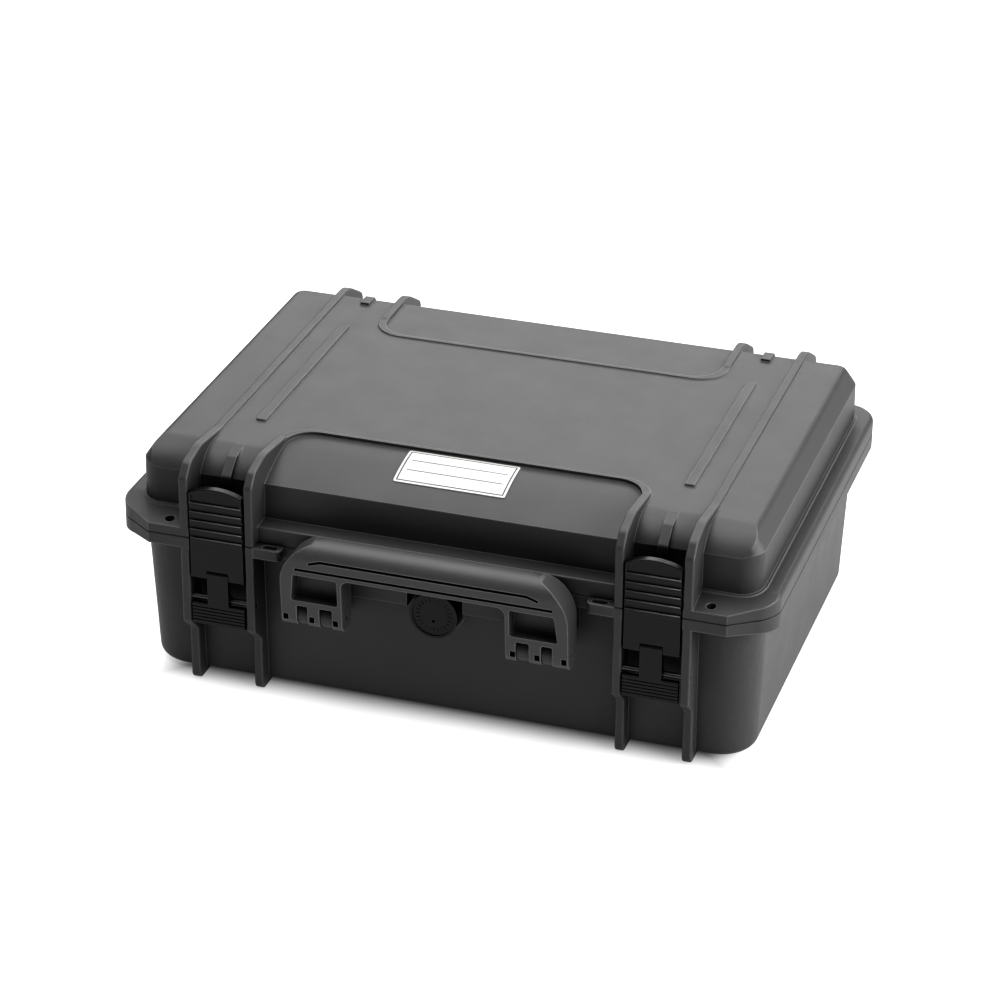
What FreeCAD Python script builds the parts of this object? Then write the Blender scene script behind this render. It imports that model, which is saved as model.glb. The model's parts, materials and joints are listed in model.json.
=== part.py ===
import FreeCAD, Part
import math
import os

# Waterproof hard case with two draw latches, a folding handle and a rear-hinged lid.
# Millimetres. +X is to the right, +Y to the rear and +Z up. Every piece is drawn about the
# middle of the case body, and is then moved so that the origin lies under the middle of
# the whole footprint, handle and hinges included.

V = FreeCAD.Vector
along_x = V(1, 0, 0)
along_y = V(0, 1, 0)
near = 0.001
overrun = 5.0

# A drop is a distance below the parting line or the edge above, and a rise is one above it.
# An inset is a distance inwards from the face or edge that the piece follows.

# Overall body
case_width = 464.0
body_depth = 321.8
parting_height = 117.4
lid_rise = 52.1
flange_corner_radius = 24.0
wall = 3.5

# Tub
tub_bottom_height = 1.5
tub_ledge_side = 11.5
tub_ledge_front = 10.4
tub_draft = 4.0
tub_corner_radius = 26.0
tub_foot_radius = 8.0
base_flange_thickness = 12.0
base_flange_ease = 1.6
flange_slope_length = 26.0
base_slope_rise = 3.6

# Lid
lid_ledge_side = 12.8
lid_ledge_front = 14.5
lid_draft = 0.4
lid_corner_radius = 15.0
lid_crease_drop = 12.5
lid_shoulder_run = 8.5
lid_shoulder_radius = 6.0
lid_shoulder_ease = 6.0
lid_front_run = 26.8
lid_front_drop = 14.5
lid_flange_thickness = 12.4
lid_flange_ease = 4.0
lid_slope_drop = 5.7
bead_width = 1.8
bead_height = 0.8
front_lip_rise = 12.0
front_lip_ease = 1.2
front_pocket_run = 56.5
front_pocket_step = 1.5
rear_pocket_run = 64.5
rear_pocket_step = 0.6
pocket_corner_radius = 20.0
rim_width = 3.0
rim_height = 1.0
rim_ease = 0.5

# Ribs that run up the front, over the lid and down the rear
outer_rib_inset = 52.0
outer_rib_width = 6.5
inner_rib_width = 6.2
latch_bay_width = 40.6
rib_ease = 1.1
rib_reach = 8.5
rib_step_drop = 65.8
rib_slant_drop = 10.5
rib_foot_inset = 2.9
rib_foot_radius = 5.0
rib_bend_radius = 4.0
inner_foot_length = 42.0
rib_crest_rise = 1.5
rib_crest_inset = 55.9
rib_crest_radius = 60.0
rib_tail_length = 3.0
rib_tail_drop = 12.0

# Rounded rib ends on the lid: drops and rises are counted from the lid's top here
front_shoulder_drop = 8.0
front_shoulder_radius = 5.0
front_brow_inset = 7.9
front_brow_rise = 1.1
front_brow_radius = 7.0
front_hump_inset = 26.4
front_hump_rise = 5.7
front_hump_radius = 30.0
rear_rib_reach = 15.6
rear_shoulder_drop = 14.1
rear_shoulder_radius = 8.0
rear_brow_inset = 27.5
rear_brow_radius = 30.0

# Bars and nubs on the lid
bar_width = 7.4
bar_offset = 0.2
bar_length = 168.0
bar_height = 1.4
bar_sink = 1.0
bar_ease = 0.6
bar_corner_radius = 1.0
nub_start_inset = 24.0
nub_root_inset = 15.0
nub_knee_inset = 8.5
nub_knee_drop = 2.1
rear_nub_start_inset = 21.0
rear_nub_rise = 1.8
nub_overhang = 3.4
nub_brow_drop = 12.5
nub_bottom_drop = 18.0
nub_radius = 3.0

# Corner plates with padlock holes
plate_length = 23.3
plate_slant_run = 18.1
plate_slant_depth = 13.0
plate_root = 20.0
padlock_offset = 10.3
padlock_inset = 8.1
padlock_radius = 3.3

# Seal between lid and tub
seal_inset_side = 8.0
seal_inset_front = 7.4
seal_corner_inset = 7.0
seal_groove_width = 5.4
seal_groove_depth = 4.6
seal_height = 3.2
seal_side_gap = 0.2
seal_gap = 0.3
seal_ridge_width = 2.6

# Rear hinges
hinge_reach = 11.1
hinge_eye_radius = 7.0
hinge_pin_radius = 2.5
hinge_gap = 0.4
hinge_side_gap = 0.35
pin_recess = 0.6
running_clearance = 0.05
bracket_drop = 25.0
bracket_foot = 10.0

# Latch plates
latch_side_gap = 1.05
latch_proud = 1.0
latch_thickness = 5.0
latch_bottom_drop = 29.4
latch_shoulder_rise = 35.2
latch_arch_rise = 4.5
latch_lip_height = 1.7
latch_ridge_count = 5
latch_ridge_rise = 27.9
latch_ridge_pitch = 6.65
latch_ridge_height = 3.2
latch_groove_depth = 1.1
latch_face_recess = 0.5
latch_ease = 0.7
latch_pivot_rise = 3.2
latch_pin_radius = 1.25
nose_half_width = 10.0
nose_rise = 1.2
nose_height = 4.5
nose_slope = 2.0
nose_gap = 0.4

# Latch links, the T-shaped pieces between the case and the latch plates
tongue_width = 15.3
tongue_side_gap = 0.25
tongue_top_gap = 0.45
tongue_inset = 0.2
link_pivot_inset = 3.6
link_pivot_drop = 45.9
link_pin_radius = 2.0
link_boss_radius = 3.6
link_panel_drop = 3.1
link_panel_height = 16.1
link_panel_thickness = 4.2
link_panel_ease = 0.8
link_groove_count = 5
link_groove_pitch = 2.5
link_groove_margin = 2.4
link_groove_height = 0.9
link_groove_depth = 0.6
link_side_gap = 1.2

# Handle
handle_side_inset = 25.7
handle_leg_width = 43.6
handle_bottom_drop = 47.2
handle_top_rise = 17.4
handle_grip_height = 21.9
handle_gap = 5.4
handle_thickness = 20.7
handle_lean = 3.3
handle_corner_radius = 30.0
handle_inner_radius = 6.0
handle_foot_radius = 8.0
handle_front_radius = 13.0
handle_rear_radius = 6.0
handle_pivot_offset = 8.7
handle_pivot_rise = 8.5
handle_pin_radius = 2.0
handle_pin_recess = 1.2
knuckle_radius = 8.2
knuckle_gap = 0.3
knuckle_head_gap = 1.1
inner_knuckle_inset = 7.5
inner_knuckle_width = 8.6
outer_knuckle_inset = 11.3
outer_knuckle_width = 7.2
knuckle_slot_radius = 1.5
window_rim_inside = 3.0
window_rim_outside = 7.4
window_lean = 2.2
window_top_gap = 0.9
window_depth = 12.0
window_radius = 1.6
crossbar_height = 4.0
upper_slot_drop = 10.6
upper_slot_end = 20.7
upper_slot_droop = 2.4
lower_slot_drop = 18.3
lower_slot_end = 10.8
grip_slot_height = 1.8
grip_slot_depth = 3.2
grip_slot_bend = 8.0
inner_pocket_margin = 0.4
middle_pocket_margin = 1.0
outer_pocket_margin = 1.2
prong_pocket_rise = 5.6
prong_pocket_width = 3.6
prong_pocket_height = 4.6
prong_pocket_depth = 3.6

# Handle block on the tub, with the notch round the valve
block_inset = 3.0
block_drop = 30.1
block_ease = 1.5
notch_gap = 2.7
notch_head_gap = 2.5

# Strap eyelets
eyelet_reach = 19.1
eyelet_face_inset = 0.4
eyelet_thickness = 7.8
eyelet_top_gap = 0.3
eyelet_corner_radius = 3.5
eyelet_ease = 0.8
eyelet_slot_length = 11.0
eyelet_slot_width = 5.0
eyelet_slot_offset = 10.5
eyelet_slot_inset = 4.1
eyelet_bore_radius = 2.0

# Pressure valve
valve_drop = 32.8
valve_radius = 16.9
valve_proud = 2.5
valve_cap_thickness = 2.2
valve_cap_rim = 1.8
valve_cap_recess = 0.7
valve_vent_radius = 1.1
valve_vent_drop = 4.2
valve_seat_proud = 0.7
valve_seat_radius = 18.2
valve_inner_seat_proud = 1.8
valve_inner_seat_radius = 15.5
valve_seal_thickness = 1.2
valve_seal_radius = 12.0
valve_stem_radius = 9.0
valve_stem_proud = 1.2
valve_nut_thickness = 4.6
valve_nut_half_flat = 12.0
valve_nut_sides = 6
valve_bore_radius = 5.0
valve_chamber_radius = 7.0
valve_chamber_depth = 1.6
valve_membrane_thickness = 0.6

# Write-on label
label_length = 79.0
label_width = 36.0
label_thickness = 0.5
label_gap = 0.1
label_corner_radius = 1.5
label_offset = -1.5
label_inset = 20.5

# Places of the flanges and the lid
flange_half_width = case_width / 2
flange_half_depth = body_depth / 2
base_flange_bottom = parting_height - base_flange_thickness
lid_flange_top = parting_height + lid_flange_thickness
lid_top_height = parting_height + lid_rise
tub_half_width_high = flange_half_width - tub_ledge_side
tub_half_depth_high = flange_half_depth - tub_ledge_front
tub_half_width_low = tub_half_width_high - tub_draft
tub_half_depth_low = tub_half_depth_high - tub_draft
lid_half_width_low = flange_half_width - lid_ledge_side
lid_half_depth_low = flange_half_depth - lid_ledge_front
lid_half_width_high = lid_half_width_low - lid_draft
lid_half_depth_high = lid_half_depth_low - lid_draft
lid_crease_height = lid_top_height - lid_crease_drop
arch_margin = lid_draft * 2
lid_front_arc = (lid_front_run ** 2 + lid_front_drop ** 2) / (2 * lid_front_drop)
lid_flat_depth = lid_half_depth_high - lid_front_run
front_pocket_depth = lid_half_depth_high - front_pocket_run
rear_pocket_depth = lid_half_depth_high - rear_pocket_run
pocket_top = lid_top_height - front_pocket_step
pocket_drop = lid_front_drop - front_pocket_step
pocket_arc = (front_pocket_run ** 2 + pocket_drop ** 2) / (2 * pocket_drop)
pocket_centre_height = pocket_top - pocket_arc
front_lip_height = parting_height + front_lip_rise
seal_corner_radius = flange_corner_radius - seal_corner_inset

# Places of the ribs and what follows them
outer_rib_outside = flange_half_width - outer_rib_inset
outer_rib_inside = outer_rib_outside - outer_rib_width
inner_rib_outside = outer_rib_inside - latch_bay_width
inner_rib_inside = inner_rib_outside - inner_rib_width
rib_spans = ((inner_rib_inside, inner_rib_outside), (outer_rib_inside, outer_rib_outside))
rib_face_depth = flange_half_depth + rib_reach
rib_foot_depth = flange_half_depth - rib_foot_inset
rib_step_height = parting_height - rib_step_drop
rib_crest_depth = flange_half_depth - rib_crest_inset
rib_crest_height = lid_top_height + rib_crest_rise
rear_rib_depth = flange_half_depth + rear_rib_reach
flange_slope_depth = flange_half_depth - flange_slope_length
plate_outer = outer_rib_outside + plate_length
plate_corner = plate_outer + plate_slant_run
padlock_distance = outer_rib_outside + padlock_offset
padlock_depth = rib_face_depth - padlock_inset
hinge_distance = flange_half_depth + hinge_reach
bay_half_width = latch_bay_width / 2
latch_centre = inner_rib_outside + bay_half_width
bar_inside = latch_centre + bar_offset - bar_width / 2
bar_half_length = bar_length / 2

# Places of the latches
latch_front = rib_face_depth + latch_proud
latch_half_width = bay_half_width - latch_side_gap
latch_bottom = parting_height - latch_bottom_drop
latch_shoulder = parting_height + latch_shoulder_rise
latch_ridge_top = parting_height + latch_ridge_rise
latch_pivot_height = latch_bottom + latch_pivot_rise
latch_pivot_depth = latch_front - latch_thickness / 2
nose_bottom = lid_flange_top + nose_rise
tongue_half_thickness = latch_thickness / 2 - tongue_inset
link_half_width = bay_half_width - link_side_gap
link_pivot_depth = rib_face_depth - link_pivot_inset
link_pivot_height = parting_height - link_pivot_drop
link_panel_top = link_pivot_height - link_panel_drop
link_panel_bottom = link_panel_top - link_panel_height
link_groove_top = link_panel_top - link_groove_margin

# Places of the handle, its block and the eyelets
handle_half_width = inner_rib_inside - handle_side_inset
handle_leg_inside = handle_half_width - handle_leg_width
handle_bottom = parting_height - handle_bottom_drop
handle_top = parting_height + handle_top_rise
handle_grip_bottom = handle_top - handle_grip_height
handle_back = flange_half_depth + handle_gap
handle_front_high = handle_back + handle_thickness
handle_front_low = handle_front_high - handle_lean
handle_pivot_depth = handle_back + handle_pivot_offset
handle_pivot_height = handle_bottom + handle_pivot_rise
inner_knuckle_inside = handle_leg_inside + inner_knuckle_inset
outer_knuckle_outside = handle_half_width - outer_knuckle_inset
outer_knuckle_inside = outer_knuckle_outside - outer_knuckle_width
knuckle_spans = (
    (inner_knuckle_inside, inner_knuckle_inside + inner_knuckle_width),
    (outer_knuckle_inside, outer_knuckle_outside),
)
knuckle_slot_top = handle_pivot_height + knuckle_radius + knuckle_head_gap
window_inner = handle_leg_inside + window_rim_inside
window_outer = handle_half_width - window_rim_outside
window_low = knuckle_slot_top + crossbar_height
window_high = handle_grip_bottom - window_top_gap
grip_slots = (
    (handle_top - upper_slot_drop, handle_half_width - upper_slot_end, upper_slot_droop),
    (handle_top - lower_slot_drop, handle_half_width - lower_slot_end, 0),
)
prong_pocket_ends = (
    inner_knuckle_inside - knuckle_gap - inner_pocket_margin,
    outer_knuckle_inside - knuckle_gap - middle_pocket_margin,
    handle_half_width - outer_pocket_margin,
)
prong_pocket_bottom = handle_bottom + prong_pocket_rise
block_half_width = handle_half_width - block_inset
block_bottom = parting_height - block_drop
eyelet_outer = inner_rib_inside - eyelet_reach
eyelet_front = rib_face_depth - eyelet_face_inset
eyelet_slot_distance = inner_rib_inside - eyelet_slot_offset
eyelet_slot_depth = eyelet_front - eyelet_slot_inset

# Places of the valve and the label
valve_height = parting_height - valve_drop
valve_front = flange_half_depth + valve_proud
valve_cap_back = valve_front - valve_cap_thickness
valve_seat_depth = tub_half_depth_high + valve_seat_proud
valve_body_back = valve_seat_depth + valve_seal_thickness
valve_inner_seat_depth = tub_half_depth_high - wall - valve_inner_seat_proud
valve_stem_end = valve_inner_seat_depth - valve_nut_thickness - valve_stem_proud
notch_half_width = valve_radius + notch_gap
notch_top = valve_height + valve_radius + notch_head_gap
label_distance = front_pocket_depth + label_inset

# The footprint runs from the handle's face to the backs of the hinge barrels
rear_reach = hinge_distance + hinge_eye_radius
body_shift = (handle_front_high - rear_reach) / 2
sides = (("left", -1), ("right", 1))


# Outlines and simple solids

def rounded_wire(corners, radii):
    """Closed wire through the corners, each of them rounded by its own radius."""
    stations = []
    count = len(corners)
    for i in range(count):
        here = corners[i]
        if radii[i] == 0:
            stations.append((here, None, here))
            continue
        back = corners[i - 1] - here
        ahead = corners[(i + 1) % count] - here
        back.normalize()
        ahead.normalize()
        half_angle = back.getAngle(ahead) / 2
        reach = radii[i] / math.tan(half_angle)
        bisector = back + ahead
        bisector.normalize()
        middle = here + bisector * (radii[i] / math.sin(half_angle) - radii[i])
        stations.append((here + back * reach, middle, here + ahead * reach))
    edges = []
    for i in range(count):
        start, middle, end = stations[i]
        last = stations[i - 1][2]
        if last.distanceToPoint(start) > near:
            edges.append(Part.LineSegment(last, start).toShape())
        if middle is not None:
            edges.append(Part.Arc(start, middle, end).toShape())
    return Part.Wire(edges)


def prism_x(points, radii, low, high):
    """Solid with its outline in the YZ plane, from x = low to x = high."""
    corners = [V(low, y, z) for y, z in points]
    return Part.Face(rounded_wire(corners, radii)).extrude(V(high - low, 0, 0))


def prism_y(points, radii, low, high):
    """Solid with its outline in the XZ plane, from y = low to y = high."""
    corners = [V(x, low, z) for x, z in points]
    return Part.Face(rounded_wire(corners, radii)).extrude(V(0, high - low, 0))


def prism_z(points, radii, low, high):
    """Solid with its outline in the XY plane, from z = low to z = high."""
    corners = [V(x, y, low) for x, y in points]
    return Part.Face(rounded_wire(corners, radii)).extrude(V(0, 0, high - low))


def square(low_u, high_u, low_v, high_v):
    """The four corners of a rectangle, for one of the prisms."""
    return [(low_u, low_v), (high_u, low_v), (high_u, high_v), (low_u, high_v)]


def box(low_x, high_x, low_y, high_y, low_z, high_z):
    """Plain block between two corners."""
    return prism_z(square(low_x, high_x, low_y, high_y), [0] * 4, low_z, high_z)


def slab(half_x, half_y, radius, low, high):
    """Rounded rectangle about the middle, from z = low to z = high."""
    return prism_z(square(-half_x, half_x, -half_y, half_y), [radius] * 4, low, high)


def taper(low_half, high_half, low_radius, high_radius, low, high):
    """Rounded rectangle that grows or shrinks evenly from z = low to z = high."""
    wires = []
    ends = ((low_half, low_radius, low), (high_half, high_radius, high))
    for (half_x, half_y), radius, height in ends:
        corners = [V(x, y, height) for x, y in square(-half_x, half_x, -half_y, half_y)]
        wires.append(rounded_wire(corners, [radius] * 4))
    return Part.makeLoft(wires, True, True)


def rod_x(y, z, radius, low, high):
    """Round bar along X."""
    return Part.makeCylinder(radius, high - low, V(low, y, z), along_x)


def rod_y(x, z, radius, low, high):
    """Round bar along Y."""
    return Part.makeCylinder(radius, high - low, V(x, low, z), along_y)


def span(side, inside, outside):
    """Low and high x of a stretch that lies between two distances from the middle."""
    ends = sorted((side * inside, side * outside))
    return ends[0], ends[1]


def eased(shape, radius, axis, value):
    """The shape with every edge rounded that lies in the plane axis = value."""
    chosen = []
    for edge in shape.Edges:
        bounds = edge.BoundBox
        low = {"x": bounds.XMin, "y": bounds.YMin, "z": bounds.ZMin}[axis]
        high = {"x": bounds.XMax, "y": bounds.YMax, "z": bounds.ZMax}[axis]
        if abs(low - value) < near and abs(high - value) < near:
            chosen.append(edge)
    return shape.makeFillet(radius, chosen)


def rib_prism(points, radii, low, high):
    """Rib with softly rounded long edges."""
    rib = prism_x(points, radii, low, high)
    return eased(eased(rib, rib_ease, "x", low), rib_ease, "x", high)


def joined(shapes):
    """All the shapes fused into one, one after the other."""
    whole = shapes[0]
    for shape in shapes[1:]:
        whole = whole.fuse(shape)
    return whole


# Pieces that the tub and the lid share

def corner_plate(side, low, high):
    """Plate that fills the flange's front corner round a padlock hole."""
    root = flange_half_depth - plate_root
    points = [
        (side * outer_rib_inside, -root),
        (side * outer_rib_inside, -rib_face_depth),
        (side * plate_outer, -rib_face_depth),
        (side * plate_corner, -rib_face_depth + plate_slant_depth),
        (side * plate_corner, -root),
    ]
    return prism_z(points, [0] * len(points), low, high)


def front_wedge(height, change):
    """Cutter that slopes the front of a flange, from its own height by the change."""
    reach = flange_half_width + overrun
    slope = change / (rib_face_depth - flange_slope_depth)
    outer = rib_face_depth + overrun
    tip = height + slope * (outer - flange_slope_depth)
    beyond = height - math.copysign(overrun, change)
    start = flange_slope_depth
    return prism_x([(-start, height), (-outer, tip), (-outer, beyond), (-start, beyond)],
                   [0] * 4, -reach, reach)


def seal_ring(width, side_gap, low, high):
    """Closed ring along the seal's line."""
    half_x = flange_half_width - seal_inset_side
    half_y = flange_half_depth - seal_inset_front
    reach = width / 2 - side_gap
    outer = slab(half_x + reach, half_y + reach, seal_corner_radius + reach, low, high)
    inner = slab(half_x - reach, half_y - reach, seal_corner_radius - reach, low, high)
    return outer.cut(inner)


def padlock_bores():
    """Cutters for the two padlock holes."""
    low = base_flange_bottom - overrun
    length = lid_flange_top + overrun - low
    return [
        Part.makeCylinder(padlock_radius, length, V(side * padlock_distance, -padlock_depth, low))
        for name, side in sides
    ]


# Base shell

def tub_half(height):
    """Half width and half depth of the tub's outside at a height."""
    share = (height - tub_bottom_height) / (base_flange_bottom - tub_bottom_height)
    half_x = tub_half_width_low + (tub_half_width_high - tub_half_width_low) * share
    half_y = tub_half_depth_low + (tub_half_depth_high - tub_half_depth_low) * share
    return half_x, half_y


def tub_block(inset, low, high):
    """The tub as a solid block, drawn in by the inset, with a rounded bottom edge."""
    low_x, low_y = tub_half(low)
    high_x, high_y = tub_half(high)
    halves = (low_x - inset, low_y - inset), (high_x - inset, high_y - inset)
    radius = tub_corner_radius - inset
    block = taper(halves[0], halves[1], radius, radius, low, high)
    return eased(block, tub_foot_radius - inset, "z", low)


def base_ribs():
    """Four ribs of the tub: the outer two run under it as rails, the inner two have feet."""
    front = [
        (-rib_face_depth, parting_height),
        (-rib_face_depth, rib_step_height),
        (-rib_foot_depth, rib_step_height - rib_slant_drop),
        (-rib_foot_depth, 0),
    ]
    rear = [(-y, z) for y, z in reversed(front)]
    bends = [0, rib_bend_radius, rib_bend_radius, rib_foot_radius]
    root = rib_foot_depth - inner_foot_length
    ribs = []
    for name, side in sides:
        low, high = span(side, outer_rib_inside, outer_rib_outside)
        ribs.append(rib_prism(front + rear, bends + bends[::-1], low, high))
        low, high = span(side, inner_rib_inside, inner_rib_outside)
        close = [(-root, 0), (-root, parting_height)]
        ribs.append(rib_prism(front + close, bends + [0, 0], low, high))
        close = [(root, parting_height), (root, 0)]
        ribs.append(rib_prism(close + rear, [0, 0] + bends[::-1], low, high))
    return ribs


def hinge_barrels():
    """Two barrels behind the tub, each on its bracket, between the eyes of the lid."""
    slope = math.sqrt(2) / 2
    low_z = parting_height - bracket_drop
    touch = (hinge_distance + hinge_eye_radius * slope, parting_height - hinge_eye_radius * slope)
    bracket = [
        (tub_half_depth_low, parting_height),
        (tub_half_depth_low, low_z),
        (tub_half_depth_low + bracket_foot, low_z),
        touch,
        (hinge_distance, parting_height),
    ]
    barrels = []
    for name, side in sides:
        inside = inner_rib_outside + hinge_side_gap
        outside = outer_rib_inside - hinge_side_gap
        low, high = span(side, inside, outside)
        barrels.append(prism_x(bracket, [0] * len(bracket), low, high))
        barrels.append(rod_x(hinge_distance, parting_height, hinge_eye_radius, low, high))
    return barrels


def eye_clearances():
    """Cutters that leave room on the tub for the turning eyes of the lid."""
    cutters = []
    for name, side in sides:
        for inside, outside in rib_spans:
            low, high = span(side, inside - hinge_side_gap, outside + hinge_side_gap)
            radius = hinge_eye_radius + hinge_gap
            cutters.append(rod_x(hinge_distance, parting_height, radius, low, high))
    return cutters


def handle_block():
    """Deep ledge behind the handle, notched round the valve."""
    points = [
        (-tub_half_depth_low, parting_height),
        (-flange_half_depth, parting_height),
        (-flange_half_depth, block_bottom),
        (-tub_half_depth_low, block_bottom),
    ]
    block = prism_x(points, [0, 0, block_ease, 0], -block_half_width, block_half_width)
    notch = box(-notch_half_width, notch_half_width, -flange_half_depth - overrun,
                -tub_half_depth_low + overrun, block_bottom - overrun, notch_top)
    return block.cut(notch)


def handle_knuckles():
    """Four arms that carry the handle's pins, two behind each leg."""
    front = handle_pivot_depth + knuckle_radius
    low_z = handle_pivot_height - knuckle_radius
    high_z = handle_pivot_height + knuckle_radius
    points = square(-front, -tub_half_depth_low, low_z, high_z)
    radii = [knuckle_radius, 0, 0, knuckle_radius]
    arms = []
    for name, side in sides:
        for inside, outside in knuckle_spans:
            low, high = span(side, inside, outside)
            arms.append(prism_x(points, radii, low, high))
    return arms


def strap_eyelet(side):
    """Small shelf beside the inner rib, with a slot for a strap and a bore in its end."""
    top = parting_height - eyelet_top_gap
    low_z = top - eyelet_thickness
    points = [
        (side * inner_rib_outside, -tub_half_depth_low),
        (side * inner_rib_outside, -eyelet_front),
        (side * eyelet_outer, -eyelet_front),
        (side * eyelet_outer, -tub_half_depth_low),
    ]
    shelf = prism_z(points, [0, 0, eyelet_corner_radius, 0], low_z, top)
    shelf = eased(shelf, eyelet_ease, "z", top)
    reach = eyelet_slot_length / 2
    round_end = eyelet_slot_width / 2
    centre = side * eyelet_slot_distance
    slot = prism_z(
        square(centre - reach, centre + reach, -eyelet_slot_depth - round_end,
               -eyelet_slot_depth + round_end),
        [round_end] * 4, low_z - overrun, top + overrun)
    low, high = span(side, eyelet_outer - overrun, eyelet_slot_distance)
    bore = rod_x(-eyelet_slot_depth, (low_z + top) / 2, eyelet_bore_radius, low, high)
    return shelf.cut(slot).cut(bore)


def base_shell():
    """Tub with its flange, ribs, hinge barrels, handle block and valve seat."""
    flange = slab(flange_half_width, flange_half_depth, flange_corner_radius,
                  base_flange_bottom, parting_height)
    flange = eased(flange, base_flange_ease, "z", base_flange_bottom)
    plates = [corner_plate(side, base_flange_bottom, parting_height) for name, side in sides]
    flange = flange.fuse(plates).cut(front_wedge(base_flange_bottom, base_slope_rise))
    parts = [tub_block(0, tub_bottom_height, parting_height - near), flange]
    parts += base_ribs()
    parts += hinge_barrels()
    parts += handle_knuckles()
    parts += [strap_eyelet(side) for name, side in sides]
    parts.append(handle_block())
    parts.append(rod_y(0, valve_height, valve_seat_radius, -valve_seat_depth, -tub_half_depth_low))
    shell = parts[0].fuse(parts[1:])
    shell = shell.cut(tub_block(wall, tub_bottom_height + wall, parting_height + overrun))
    inner_seat = rod_y(0, valve_height, valve_inner_seat_radius,
                       -tub_half_depth_high + wall, -valve_inner_seat_depth)
    ridge_top = parting_height + seal_groove_depth - seal_height - seal_gap
    ridge = seal_ring(seal_ridge_width, 0, parting_height - wall, ridge_top)
    shell = shell.fuse([inner_seat, ridge])
    cutters = padlock_bores() + eye_clearances()
    cutters.append(rod_y(0, valve_height, valve_stem_radius, -valve_front, -valve_stem_end))
    for name, side in sides:
        low, high = span(side, inner_rib_inside - overrun, outer_rib_outside + overrun)
        cutters.append(rod_x(-link_pivot_depth, link_pivot_height, link_pin_radius, low, high))
        cutters.append(rod_x(hinge_distance, parting_height, hinge_pin_radius, low, high))
        low, high = span(side, handle_leg_inside, handle_half_width)
        cutters.append(rod_x(-handle_pivot_depth, handle_pivot_height, handle_pin_radius,
                             low, high))
    return shell.cut(cutters).removeSplitter()


# Lid shell

def front_roll(flat, run, radius, top, low):
    """Block along X with a flat top that rolls down to the front."""
    edge_run = run + arch_margin
    edge_height = top - radius + math.sqrt(radius ** 2 - edge_run ** 2)
    middle_run = edge_run / 2
    middle_height = top - radius + math.sqrt(radius ** 2 - middle_run ** 2)
    reach = flange_half_width
    outer = flat + edge_run
    rear = flange_half_depth

    def at(y, z):
        return V(-reach, y, z)

    edges = [
        Part.LineSegment(at(-outer, low), at(-outer, edge_height)).toShape(),
        Part.Arc(at(-outer, edge_height), at(-flat - middle_run, middle_height),
                 at(-flat, top)).toShape(),
        Part.LineSegment(at(-flat, top), at(rear, top)).toShape(),
        Part.LineSegment(at(rear, top), at(rear, low)).toShape(),
        Part.LineSegment(at(rear, low), at(-outer, low)).toShape(),
    ]
    return Part.Face(Part.Wire(edges)).extrude(V(2 * reach, 0, 0))


def lid_block(inset, low):
    """The lid as a solid block with a creased, slanting shoulder, drawn in by the inset."""
    top = lid_top_height - inset
    low_half = (lid_half_width_low - inset, lid_half_depth_low - inset)
    crease_half = (lid_half_width_high - inset, lid_half_depth_high - inset)
    top_half = (crease_half[0] - lid_shoulder_run, crease_half[1] - lid_shoulder_run)
    radius = lid_corner_radius - inset
    walls = taper(low_half, crease_half, radius, radius, low, lid_crease_height)
    shoulder = taper(crease_half, top_half, radius, lid_shoulder_radius - inset / 2,
                     lid_crease_height, top)
    return walls.fuse(eased(shoulder, lid_shoulder_ease - inset, "z", top))


def lid_outside():
    """Crown of the lid with a shallow pocket at the front and at the rear."""
    body = lid_block(0, parting_height)
    body = body.common(front_roll(lid_flat_depth, lid_front_run, lid_front_arc,
                                  lid_top_height, parting_height))
    front = pocket_plan(-1, front_pocket_depth, parting_height)
    front = front.cut(rod_x(-front_pocket_depth, pocket_centre_height, pocket_arc,
                            -inner_rib_outside, inner_rib_outside))
    rear = pocket_plan(1, rear_pocket_depth, lid_top_height - rear_pocket_step)
    return body.cut([front, rear])


def pocket_plan(end, depth, low):
    """Cutter for the lowered panel between the inner ribs at one end of the lid."""
    reach = lid_half_depth_low + arch_margin
    points = [(-inner_rib_inside, end * reach), (inner_rib_inside, end * reach),
              (inner_rib_inside, end * depth), (-inner_rib_inside, end * depth)]
    radii = [0, 0, pocket_corner_radius, pocket_corner_radius]
    return prism_z(points, radii, low, lid_top_height + overrun)


def pocket_rim(end, depth):
    """Low bead that runs round a pocket's inner edge, from one inner rib to the other."""
    edge = depth - rim_width
    outer_radius = pocket_corner_radius + rim_width
    top = lid_top_height + rim_height
    low = lid_top_height - bar_sink
    reach = inner_rib_outside
    points = [(-reach, end * lid_half_depth_low), (reach, end * lid_half_depth_low),
              (reach, end * edge), (-reach, end * edge)]
    rim = prism_z(points, [0, 0, outer_radius, outer_radius], low, top)
    rim = eased(rim, rim_ease, "z", top)
    low_y, high_y = span(end, rib_crest_depth, flange_half_depth)
    beyond = box(-reach - overrun, reach + overrun, low_y, high_y, low - overrun, top + overrun)
    return rim.cut([pocket_plan(end, depth, low - overrun), beyond])


def front_rib_end():
    """Points and radii of a rib's front end, from the parting line to its hump."""
    face = rib_face_depth
    points = [
        (-face, parting_height),
        (-face, lid_top_height - front_shoulder_drop),
        (-face + front_brow_inset, lid_top_height + front_brow_rise),
        (-face + front_hump_inset, lid_top_height + front_hump_rise),
    ]
    return points, [0, front_shoulder_radius, front_brow_radius, front_hump_radius]


def rear_rib_end():
    """Points and radii of a rib's rear end, from the end of its crest to the parting line."""
    points = [
        (rear_rib_depth - rear_brow_inset, rib_crest_height),
        (rear_rib_depth, lid_top_height - rear_shoulder_drop),
        (rear_rib_depth, parting_height),
    ]
    return points, [rear_brow_radius, rear_shoulder_radius, 0]


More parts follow.
